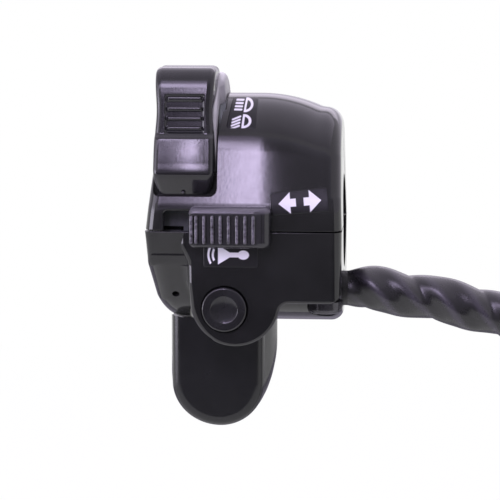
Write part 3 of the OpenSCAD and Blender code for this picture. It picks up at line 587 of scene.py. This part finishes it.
def horn_sign(x, z):
    """Horn: a bell that widens to the left from a bulb, with two arcs of sound."""
    flare = 0.55 + np.clip(-x - 0.2, 0, 9) * 0.62
    bell = np.maximum(np.abs(z) - flare, np.maximum(x - 2.2, -x - 2.9))
    bulb = np.hypot((x - 2.9) / 1.25, z) - 1.05
    fan = np.abs(z) + 0.9 * x + 2.1
    arcs = [np.maximum(np.abs(np.hypot(x + 1.2, z) - r) - 0.24, fan) for r in (2.9, 3.9)]
    return np.minimum.reduce([bell, bulb, *arcs])


def label(name, corners, sign, depth):
    """Plate on a skin: a grid between four corners (x, z) with rounded corners, laid
    on the depth given for each place and raised by the film, its rim turned down."""
    rows, cols = 120, 170
    v, u = np.meshgrid(np.linspace(-1, 1, rows), np.linspace(-1, 1, cols), indexing="ij")
    low_left, low_right, top_right, top_left = np.array(corners, float)
    half = np.array([np.linalg.norm(low_right - low_left), np.linalg.norm(top_left - low_left)]) / 2
    inset = 0.7
    over = np.stack([np.abs(u) * half[0] - half[0] + inset, np.abs(v) * half[1] - half[1] + inset], -1)
    both = (over > 0).all(-1)
    shrink = np.where(both, over.max(-1) / np.maximum(np.linalg.norm(over, axis=-1), 1e-9), 1.0)
    au = np.where(both, np.sign(u) * (half[0] - inset + over[..., 0] * shrink), u * half[0]) / half[0]
    av = np.where(both, np.sign(v) * (half[1] - inset + over[..., 1] * shrink), v * half[1]) / half[1]
    p, q = (au[..., None] + 1) / 2, (av[..., None] + 1) / 2
    place = (low_left * (1 - p) + low_right * p) * (1 - q) + (top_left * (1 - p) + top_right * p) * q
    rim = np.minimum((1 - np.abs(u)) * half[0], (1 - np.abs(v)) * half[1])
    film = -0.05 + 0.17 * np.clip(rim / 0.3, 0, 1) ** 0.5
    y = depth(place[..., 0], place[..., 1]) - film
    points = np.stack([place[..., 0], y, place[..., 1]], -1).reshape(-1, 3)
    row, col = np.meshgrid(np.arange(rows - 1), np.arange(cols - 1), indexing="ij")
    near = (row * cols + col).ravel()
    mesh = bpy.data.meshes.new(name)
    faces = np.stack([near, near + 1, near + cols + 1, near + cols], -1)
    mesh.from_pydata((points * mm).tolist(), [], faces.tolist())
    mesh.polygons.foreach_set("use_smooth", np.full(len(mesh.polygons), True))
    ink = np.clip(0.5 - sign(au * half[0], av * half[1]) / 0.1, 0, 1)
    mesh.attributes.new("ink", "FLOAT", "POINT").data.foreach_set("value", ink.ravel().astype(np.float32))
    mesh.materials.append(label_film)
    piece = bpy.data.objects.new(name, mesh)
    bpy.context.scene.collection.objects.link(piece)
    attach(piece, "housing")


label_film = finish("label_film", (0.007, 0.007, 0.008), 0.42, 0.05, 0.5, 0.25, 0.05, specular=0.3)
tinted(label_film, kept_value(label_film, "ink"), (0.80, 0.79, 0.83))
label("beam_label", [(-4.3, 23.2), (2.6, 23.0), (2.7, 29.8), (-3.3, 29.9)],
      lambda x, z: np.minimum(lamp_sign(x, z - 1.75, 0.0), lamp_sign(x, z + 1.75, 0.7)), on_upper)
label("turn_label", [(6.6, 3.7), (20.0, 4.8), (19.4, 10.3), (6.2, 8.8)],
      lambda x, z: np.minimum(arrow_sign(x, z, 1), arrow_sign(x, z, -1)), on_upper)
label("horn_label", [(-9.0, -8.3), (3.6, -8.3), (3.6, -2.4), (-9.0, -2.4)], horn_sign,
      lambda x, z: np.full(x.shape, panel_front))


# Clamp screws: two pan-head steel screws, blacked, from below on either side of the
# bar; they pull the lower shell up to the upper one.
quarter = np.linspace(0, np.pi / 2, 8)
head = [(-20.0, 0.6), (-20.0, 3.0)] + [(-18.9 - 1.1 * np.cos(a), 3.0 + np.sin(a)) for a in quarter]
shank = [(screw_seat, 4.0), (screw_seat, 2.0), (12.4, 2.0), (12.8, 1.6)]
cross_long, cross_wide = 2.2, 0.45
dark_steel = finish("blacked_steel", (0.075, 0.073, 0.079), 0.2, 0.06, 0.5, 0.25, 0.06, 0.7)
for y in (-screw_y, screw_y):
    screw = turned("clamp_screw", 2, screw_x, y, head + shank, 64)
    for half_x, half_y in ((cross_long, cross_wide), (cross_wide, cross_long)):
        carve(screw, slab("slot", (screw_x - half_x, y - half_y, -21), (screw_x + half_x, y + half_y, -18.5)))
    shaded(screw, 40)
    clad(screw, dark_steel)
    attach(screw, "housing")
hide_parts("clamp_screws")


# Dimmer lever: a glossy black paddle that rocks, with a ribbed thumb pad and a proud
# bulge below it, moulded onto a light grey drum that turns on a steel pin.
def bell(t):
    """Bell curve, one at nought."""
    return np.exp(-t * t / 2)


def eased(share):
    """Share of a change that begins and ends without a kink."""
    return share * share * (3 - 2 * share)


def flat_face(distance, normal):
    """Radius of a flat face at the angles of the toe: its distance from the pivot over
    the cosine of the angle from its normal."""
    return distance / np.cos(np.radians(late - normal))


# Paddle: for each angle round the pivot, a section across it. The outer radius is the
# drum's and a bell for the crest; below the pad it passes into the toe, two flat faces
# joined by a soft minimum. A recess with half-round ribs is sunk into the pad, the long
# edges are rolled by a quarter circle, and the ends drop by a fillet.
drum_r, paddle_x, paddle_w, edge = 15.0, -13.35, 14.2, 1.5
paddle_start, pad_from, pad_to, paddle_end, crest_at = 100, 146.3, 174, 217.0, 131
deg = np.concatenate([
    np.linspace(paddle_start, 140, 24), np.linspace(140, 176, 100)[1:], np.linspace(176, paddle_end, 60)[1:]])
paddle_rows = np.radians(deg)
pad_r = drum_r + 2.2 + 3.58 * bell((deg - crest_at) / np.where(deg < crest_at, 10.3, 15))
late = np.maximum(deg, 165)
toe_r = -np.log(np.exp(-2 * flat_face(17.65, 164)) + np.exp(-2 * flat_face(20.8, 217))) / 2
toe_r -= 0.0012 * (np.clip(deg, 172, 194) - 182) ** 2
part = np.clip((deg - 173) / 5, 0, 1)
inner = drum_r - 0.9
in_r = np.where(deg < 185, inner, np.maximum(inner, -14.0 / np.minimum(np.cos(paddle_rows), -0.1)))
half_w = paddle_w / 2 * (0.97 - 0.07 * bell((deg - 156) / 12) - 0.15 * np.clip((deg - 198) / 19, 0, 1) ** 2)
end_in = np.maximum(end_drop((deg - paddle_start) * 0.3, 1.6), end_drop((paddle_end - deg) * 0.36, 0.55))
outer = pad_r + (toe_r - pad_r) * eased(part) - end_in
ribs_at = np.array([149, 155.7, 162.6, 169.8])
rib = 0.5 * np.sqrt(np.clip(1 - ((deg[:, None] - ribs_at[None]) / 1.7) ** 2, 0, None)).max(1)
field = np.clip((deg - pad_from) / 1.2, 0, 1) * np.clip((pad_to - deg) / 1.2, 0, 1)
face_half = half_w - edge
x_face = face_half[:, None] * np.linspace(-1, 1, 57)[None]
pad_mask = np.clip((4.5 - np.abs(x_face - 0.1)) / 0.35, 0, 1)
rib_mask = np.clip((4.0 - np.abs(x_face - 0.1)) / 0.3, 0, 1)
recess = field[:, None] * (0.4 * pad_mask - rib[:, None] * rib_mask)
crown = (0.07 * part * np.clip((214 - deg) / 20, 0, 1))[:, None] * ((x_face / 5.0) ** 2 + 1.1 * x_face / 5.0)
corner = np.linspace(0, np.pi / 2, 9)[None]
rail_r = outer[:, None] - edge * (1 - np.cos(corner)) * 0.9
left_x = -(face_half[:, None] + edge * np.sin(corner))
section = np.concatenate([
    np.stack([-half_w, in_r], -1)[:, None],
    np.stack([left_x, rail_r], -1)[:, :0:-1],
    np.stack([x_face, outer[:, None] - crown - recess], -1),
    np.stack([-left_x, rail_r], -1)[:, 1:],
    np.stack([half_w, in_r], -1)[:, None],
], 1)
paddle = lofted("dimmer_paddle", np.stack([
    paddle_x + section[..., 0],
    pivot_y + section[..., 1] * np.cos(paddle_rows)[:, None],
    pivot_z + section[..., 1] * np.sin(paddle_rows)[:, None],
], -1))

# Drum: a channel section swept round the pivot, its two outer corners quarter circles;
# its right side is set in behind the paddle.
wall, flange, drum_round = 2.4, 6.0, 1.5
drum_rows = np.radians(np.linspace(34, 223, 127))[:, None]
narrow = np.clip((np.degrees(drum_rows) - 112) / 12, 0, 1)
drum_x0, drum_x1 = np.full(drum_rows.shape, -18.6), -5.0 - 1.3 * eased(narrow)
rise, run_in = drum_round * (1 - np.sin(quarter)), drum_round * (1 - np.cos(quarter))
drum_x = np.concatenate([
    drum_x0 + run_in, drum_x1 - rise,
    drum_x1, drum_x1 - wall, drum_x1 - wall, drum_x0 + wall, drum_x0 + wall, drum_x0,
], 1)
drum_reach = np.concatenate([
    drum_r - rise, drum_r - run_in, drum_r - wall - np.array([flange, flange, 0, 0, flange, flange])])[None]
drum = lofted("dimmer_drum", np.stack([
    drum_x, pivot_y + drum_reach * np.cos(drum_rows), pivot_z + drum_reach * np.sin(drum_rows)], -1))
gate_mark = [(-24.75, 0.1), (-24.68, 0.32), (-24.45, 0.48), (-23.0, 0.55)]
carve(paddle, turned("gate_mark", 1, -13.5, 8.9, gate_mark, 24), "UNION")
paddle_plastic = finish("paddle_plastic", (0.0125, 0.0125, 0.0135), 0.12, 0.03, 0.5, 0.25, 0.03)
drum_plastic = finish("drum_plastic", (0.50, 0.49, 0.49), 0.42, 0.12, 1.0, 0.2, 0.08)
for piece, mat in ((paddle, paddle_plastic), (drum, drum_plastic)):
    shaded(piece, 40)
    clad(piece, mat)
    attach(piece, "dimmer")
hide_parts("dimmer_lever")


# Turn slider: a moulded knob with upright ribs for the thumb, on a stem through the
# notch at the split.
def graded(tree, axis, low, high, stops):
    """Colours by place along one axis of the piece's own coordinates."""
    parts = tree.nodes.new("ShaderNodeSeparateXYZ")
    span = tree.nodes.new("ShaderNodeMapRange")
    span.inputs["From Min"].default_value = low
    span.inputs["From Max"].default_value = high
    tree.links.new(tree.nodes.new("ShaderNodeTexCoord").outputs["Object"], parts.inputs[0])
    tree.links.new(parts.outputs[axis], span.inputs["Value"])
    return ramp(tree, span.outputs["Result"], stops)


def combined(tree, how, first, second):
    """Two values put together, held between nought and one."""
    node = tree.nodes.new("ShaderNodeMath")
    node.operation, node.use_clamp = how, True
    tree.links.new(first, node.inputs[0])
    tree.links.new(second, node.inputs[1])
    return node.outputs[0]


# Knob: rectangles with round corners, from the back forward, each place on Y with its
# left, right, lower and upper edge and corner radius. The ribs are joined to its face.
turn_rings = []
for y, x0, x1, z0, z1, r in (
    (-24.65, -11.75, 6.5, -3.3, 5.9, 1.1), (-24.8, -11.9, 6.6, -3.4, 6.0, 1.2), (-26.6, -11.95, 6.6, -3.4, 6.0, 1.3),
    (-27.3, -11.95, 6.3, -3.37, 5.92, 1.35), (-27.85, -11.9, 5.8, -3.28, 5.75, 1.4),
    (-28.25, -11.8, 5.2, -3.1, 5.5, 1.4), (-28.5, -11.6, 4.5, -2.85, 5.15, 1.3),
    (-28.62, -11.4, 3.9, -2.65, 4.8, 1.2), (-28.65, -11.2, 3.5, -2.5, 4.55, 1.1),
):
    turn_rings.append(at_y(panel_outline(x0, x1, z0, z1, (r,) * 4), y))
knob = lofted("turn_knob_cap", turn_rings)
rib_half, rib_pitch, line_w = 0.5, 1.865, 0.13
rib_layers = [
    (-27.6, 0.1), (-28.62, 0.08), (-28.8, 0.01), (-28.95, -0.06), (-29.08, -0.15), (-29.17, -0.26), (-29.21, -0.4)]
for x in [-11.25, -10.15] + [-8.35 + rib_pitch * k for k in range(7)]:
    bar = panel_outline(x - rib_half, x + rib_half, -2.4, 4.35, (0.45,) * 4)
    carve(knob, pushed("rib", bar, rib_layers), "UNION")
for z in (4.95, 5.3):
    carve(knob, slab("top_line", (-10.0, -29.5, z), (4.0, -28.35, z + line_w)))
for x in (4.6, 5.2):
    carve(knob, slab("side_line", (x, -29.5, -2.2), (x + line_w, -28.0, 4.6)))
carve(knob, slab("stem", (-9.8, -25.5, 0.15), (5.0, -21.4, 4.3)), "UNION")
shaded(knob, 36)
# The ribs' crests are lightened in patches, partly as wear from the thumb and partly as a painted highlight. The upper
# bevel is lightened evenly towards its top as a painted highlight.
knob_plastic = finish("knob_plastic", (0.02, 0.0197, 0.0215), 0.16, 0.14, 0.5, 0.3, 0.06)
tree = knob_plastic.node_tree
ridge = graded(tree, "Y", -29.22 * mm, -29.06 * mm, [(0, (1, 1, 1)), (1, (0, 0, 0))])
# Painted highlight on the upper bevel, lighter towards its top.
painted_bevel_highlight = graded(tree, "Z", 4.4 * mm, 5.2 * mm, [(0, (0, 0, 0)), (1, (0.42,) * 3)])
patchy = tree.nodes.new("ShaderNodeMath")
patchy.operation, patchy.use_clamp = "MULTIPLY_ADD", True
patchy.inputs[1].default_value, patchy.inputs[2].default_value = 2.4, -0.7
tree.links.new(noise(tree, 1600, 5), patchy.inputs[0])
worn_and_highlit_crests = combined(tree, "MULTIPLY", ridge, patchy.outputs[0])
tinted(knob_plastic, combined(tree, "MAXIMUM", worn_and_highlit_crests, painted_bevel_highlight), (0.21, 0.197, 0.23))
clad(knob, knob_plastic)
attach(knob, "turn")
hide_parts("turn_knob")


# Horn button: a turned moulding with a flat ring, a dished middle, and a flange that
# stops behind the boss.
face_y, dish_r, dish_depth, rim_round = -25.0, 3.2, 0.42, 0.45
dish = [(face_y + dish_depth * np.cos(a) ** 1.2, dish_r * np.sin(a)) for a in np.linspace(0.02, np.pi / 2, 16)]
rim = [(face_y + rim_round * (1 - np.cos(a)), 4.7 + rim_round * np.sin(a)) for a in np.linspace(0, np.pi / 2, 9)]
flange_back = [(-20.05, 5.15), (-20.05, 5.8), (-18.6, 5.8), (-18.6, 1.6), (-17.3, 1.6)]
profile = dish + [(face_y - 0.02, 3.45), (face_y, 4.6)] + rim + flange_back
horn = turned("horn_button_cap", 1, horn_x, horn_z, profile, 96)
shaded(horn, 40)
clad(horn, finish("button_plastic", (0.0125, 0.0126, 0.0135), 0.16, 0.06, 0.6, 0.3, 0.04))
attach(horn, "horn")
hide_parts("horn_button")


# Choke lever: a moulded thumb piece, hollow behind with a rib, on a neck and a collar
# that turns on the bar.
choke_x, choke_w, choke_drop, choke_front, choke_depth, draft = -6.7, 21.2, 50.4, -9.5, 10.5, 2.5


def thumb(name, margin, top, back=0.0):
    """Tongue with a half-round end: rings from the front face back, each wider by the
    rolled edge and then at the right by the draft, with straight sides up to the top."""
    half, tip, roll = choke_w / 2 - margin, choke_drop - 1.4 - margin, 2.6
    q = np.linspace(0, np.pi / 2, 10)
    layers = [(margin + roll * (1 - np.cos(a)), -roll * (1 - np.sin(a)), 0.0) for a in q]
    for share in (0.25, 0.5, 0.75, 1.0):
        y = margin + roll + share * (choke_depth + back - margin - roll)
        layers.append((y, draft * (1.7 * share - 0.7 * share ** 2), 9.0 * share))
    t = np.linspace(np.pi, 0, 60)
    rings = []
    for y, grow, lift in layers:
        left, right, rise = half + 0.9 + min(grow, 0.4), half + grow, half + lift
        across = np.where(np.cos(t) < 0, left, right)
        x = np.concatenate([[choke_x - left], choke_x + across * np.cos(t), [choke_x + right]])
        z = np.concatenate([[-top], rise - tip - (rise + min(grow, 0)) * np.sin(t), [-top]])
        rings.append(at_y(np.column_stack([x, z]), choke_front + y))
    return lofted(name, rings)


choke = thumb("choke_thumb_piece", 0.0, 13)
carve(choke, thumb("hollow", 2.2, 27.2, 0.5))
sweep = [
    (-60, 16.5), (-21.3, 16.5), (-21.0, 18.6), (-20.5, 20.2), (-19.7, 21.8), (-18.6, 23.1), (-17.2, 24),
    (-15.6, 24.4), (60, 24.4),
]
carve(choke, turned("sweep", 0, 0, 0, sweep, 120))
carve(choke, slab("rib", (-8, -8.2, -47), (-6, 0, -26)), "UNION")
collar = turned("collar", 0, 0, 0, [(-19.6, 14.25), (-1.7, 14.25)], 96)
carve(collar, slab("neck", (-13, -4.5, -25.5), (-3, 4.5, -13)), "UNION")
carve(collar, turned("bar", 0, 0, 0, [(-30, 11.3), (30, 11.3)], 96))
carve(choke, collar, "UNION")
shaded(choke, 36)
clad(choke, finish("lever_paint", (0.0105, 0.0110, 0.0112), 0.2, 0.03, 0.5, 0.15, 0.03, specular=0.45))
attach(choke, "choke")
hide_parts("choke_lever")


# Inner pieces: boards of laminate, brass contacts, steel springs, balls and pins, the
# grommet and the wires, all as their solids.
board = finish("board_laminate", (0.2, 0.215, 0.22), 0.5, 0.3, 0.7, 0.25)
bright_steel = finish("bright_steel", (0.62, 0.62, 0.64), 0.24, 0.08, 0.5, 0.08, 0.1, 1.0)
carrier = finish("carrier_plastic", (0.58, 0.55, 0.47), 0.45, 0.2, 0.9, 0.08)
rubber = finish("grommet_rubber", (0.014, 0.014, 0.014), 0.6, 0.35, 0.8, 0.3)
wire_cover = finish("wire_cover", (0.04, 0.12, 0.35), 0.4, 0.1, 0.6, 0.15)
for mat, names in (
    (board, ("dimmer_board", "turn_board", "horn_base")),
    (contact_brass, ("dimmer_contacts", "dimmer_wiper", "turn_wiper", "turn_contacts", "horn_disc", "horn_terminal")),
    (bright_steel, ("dimmer_pin", "dimmer_detent", "turn_ball", "turn_spring", "horn_spring", "choke_washer")),
    (carrier, ("turn_carrier",)),
    (rubber, ("lead_grommet",)),
    (wire_cover, ("inner_wires",)),
):
    for name in names:
        clad(nodes[name], mat)


# Studio: a white floor and white surroundings, with soft graded cards round the object
# that light it and that its gloss mirrors. The camera doesn't see the cards.
def seen_by(tree, *kinds):
    """One for rays of these kinds, else nought."""
    path = tree.nodes.new("ShaderNodeLightPath").outputs
    total = path[kinds[0]]
    for kind in kinds[1:]:
        total = combined(tree, "ADD", total, path[kind])
    return total


def stage_plane(name, corners, mat):
    """One face of the studio, which isn't part of the object."""
    plane = bpy.data.objects.new(name, bpy.data.meshes.new(name))
    plane.data.from_pydata(corners, [], [tuple(range(len(corners)))])
    plane.data.materials.append(mat)
    bpy.context.scene.collection.objects.link(plane)
    return plane


def mixed(tree, share, first, second):
    """Two shaders, the second by its share."""
    mix = tree.nodes.new("ShaderNodeMixShader")
    for socket, source in zip(mix.inputs, (share, first, second)):
        tree.links.new(source, socket)
    return mix.outputs[0]


def upright(y, x0, x1, z0, z1):
    """Corners of a card that faces along Y."""
    return [(x0, y, z0), (x1, y, z0), (x1, y, z1), (x0, y, z1)]


def lying(z, x0, x1, y0, y1):
    """Corners of a level card."""
    return [(x0, y0, z), (x1, y0, z), (x1, y1, z), (x0, y1, z)]


floor_z, mat_z = -0.176, -0.175
pale = bpy.data.materials.new("studio_floor")
pale.use_nodes = True
tree = pale.node_tree
shader = tree.nodes["Principled BSDF"]
shader.inputs["Base Color"].default_value = (0.85, 0.85, 0.86, 1)
shader.inputs["Roughness"].default_value = 0.9
white = tree.nodes.new("ShaderNodeEmission")
fade = graded(tree, "Y", -0.75, 0.75, [(0, (1, 1, 1)), (0.3, (0.9,) * 3), (0.6, (0.9,) * 3), (1, (1, 1, 1))])
shown = combined(tree, "MULTIPLY", seen_by(tree, "Is Camera Ray", "Is Glossy Ray", "Is Transmission Ray"), fade)
surface = mixed(tree, shown, shader.outputs[0], white.outputs[0])
tree.links.new(surface, tree.nodes["Material Output"].inputs["Surface"])
stage_plane("floor", lying(floor_z, -6, 6, -6, 6), pale)

world = bpy.data.worlds.new("studio")
bpy.context.scene.world = world
world.use_nodes = True
tree = world.node_tree
tree.nodes["Background"].inputs["Color"].default_value = (0.84, 0.78, 1.0, 1)
tree.nodes["Background"].inputs["Strength"].default_value = 0.8
surface = tree.nodes["Background"].outputs[0]
for tint, kinds in (
    ((0.93, 0.88, 1.0, 1), ("Is Glossy Ray", "Is Transmission Ray")),
    ((1, 1, 1, 1), ("Is Camera Ray",)),
):
    white = tree.nodes.new("ShaderNodeBackground")
    white.inputs["Color"].default_value = tint
    surface = mixed(tree, seen_by(tree, *kinds), surface, white.outputs[0])
tree.links.new(surface, tree.nodes["World Output"].inputs["Surface"])


def card(name, corners, axis, low, high, stops, strength=1.0, across=None):
    """Flat card that glows by its grade along one axis, times a grade along a second
    one where given, and isn't seen by the camera."""
    mat = bpy.data.materials.new(name)
    mat.use_nodes = True
    tree = mat.node_tree
    tree.nodes.remove(tree.nodes["Principled BSDF"])
    glow = tree.nodes.new("ShaderNodeEmission")
    glow.inputs["Strength"].default_value = strength
    grade = graded(tree, axis, low, high, stops)
    if across:
        both = tree.nodes.new("ShaderNodeVectorMath")
        both.operation = "MULTIPLY"
        tree.links.new(grade, both.inputs[0])
        tree.links.new(graded(tree, *across), both.inputs[1])
        grade = both.outputs[0]
    tree.links.new(grade, glow.inputs["Color"])
    tree.links.new(glow.outputs[0], tree.nodes["Material Output"].inputs["Surface"])
    plane = stage_plane(name, corners, mat)
    plane.visible_camera = False
    return plane


# Dim cards before the object: what the front panel and the right of the slope mirror.
front_card_y, gap_x, knee_z, wide, high_z = -0.62, -0.036, 0.10, 0.75, 0.72
dusk = [
    (0, (0.06, 0.06, 0.065)), (0.12, (0.25, 0.245, 0.265)), (0.3, (0.38, 0.365, 0.41)), (0.7, (0.44, 0.41, 0.5)),
    (1, (0.8, 0.75, 0.95)),
]
dawn = [(0, (0.03, 0.03, 0.035)), (0.3, (0.14, 0.135, 0.15)), (0.75, (0.45, 0.41, 0.52)), (1, (0.95, 0.85, 1.15))]
for name, x0, x1, z0, z1, top, grade in (
    ("low_left_card", -wide, gap_x, mat_z, knee_z, knee_z, dawn),
    ("low_right_card", gap_x, wide, mat_z, knee_z, high_z, dusk),
    ("high_card", gap_x, wide, knee_z, high_z, high_z, dusk),
):
    card(name, upright(front_card_y, x0, x1, z0, z1), "Z", -0.18, top, grade)

# Mats on the floor: a dark one before the object, a dim one behind it for gloss alone.
card("dark_mat", lying(mat_z, -wide, wide, front_card_y, -0.45), "Y", front_card_y, -0.45,
     [(0, (0.04, 0.04, 0.045)), (0.5, (0.06, 0.058, 0.065)), (1, (0.2, 0.19, 0.22))])
back_mat = card("back_mat", lying(mat_z, -0.4, 0.4, 0.08, 0.7), "Y", 0.08, 0.7,
                [(0, (0.4, 0.38, 0.46)), (1, (0.22, 0.2, 0.26))])
back_mat.visible_diffuse = back_mat.visible_shadow = False

# Light from above, the narrow key on the slope, and the broad lights at the left.
card("top_card", [(-0.8, -0.5, 0.8), (-0.8, 0.8, 0.8), (0.8, 0.8, 0.8), (0.8, -0.5, 0.8)], "Y", -0.75, 0.8,
     [(0, (0.5, 0.46, 0.56)), (0.5, (1.35, 1.25, 1.5)), (1, (1.9, 1.75, 2.1))])
key_tint, key_x0, key_x1, key_top = np.array([0.80, 0.69, 1.0]), -0.46, -0.04, 1.1
key_rise = [
    (0.10, 0.05), (0.24, 0.2), (0.34, 0.55), (0.385, 1), (0.43, 1), (0.52, 0.9), (0.60, 0.71), (0.70, 0.45),
    (0.8, 0.27), (0.9, 0.16), (1.05, 0.08),
]
key_side = [
    (0.46, 0.16), (0.2, 0.16), (0.15, 0.11), (0.127, 0.085), (0.111, 0.18), (0.102, 0.27), (0.094, 0.42),
    (0.086, 0.66), (0.078, 0.87), (0.070, 1.0), (0.061, 1.0), (0.0575, 0.85), (0.054, 0.38), (0.050, 0.14),
    (0.044, 0.05),
]
card("key_card", upright(-0.9, key_x0, key_x1, 0.10, 1.05), "Z", 0.0, key_top,
     [(at / key_top, tuple(key_tint * level)) for at, level in key_rise], 30.0,
     ("X", key_x0, key_x1, [((0.46 - at) / 0.42, (level,) * 3) for at, level in key_side]))
broad_x0, broad_x1, broad_z0, broad_z1 = -1.3, -0.078, 0.42, 0.95
broad_rise = [(0, 2), (0.12, 12), (0.36, 12), (0.6, 4), (1, 2)]
card("upper_left_card", upright(-0.75, broad_x0, broad_x1, broad_z0, broad_z1), "Z", broad_z0, broad_z1,
     [(at, tuple(key_tint * level)) for at, level in broad_rise], 1.0,
     ("X", broad_x0, broad_x1, [(0, (0.3,) * 3), (0.7, (0.5,) * 3), (0.9, (1, 1, 1)), (1, (1, 1, 1))]))
left_x, left_z0, left_z1 = -0.8, -0.17, 0.4
bright, middling = (6.3, 6.0, 7.2), (3.0, 2.8, 3.4)
card("left_card",
     [(left_x, -0.6, left_z0), (left_x, -0.05, left_z0), (left_x, -0.05, left_z1), (left_x, -0.6, left_z1)],
     "Z", left_z0, left_z1, [(0, bright), (0.35, bright), (0.6, middling), (0.9, middling), (1, (1.0, 0.95, 1.1))])
card("rear_card", upright(0.9, -0.45, 0.55, 0.2, 0.75), "Z", 0.2, 0.75,
     [(0, (0.8, 0.75, 0.9)), (0.4, (2.4, 2.2, 2.6)), (0.8, (2.4, 2.2, 2.6)), (1, (1.2, 1.1, 1.3))])
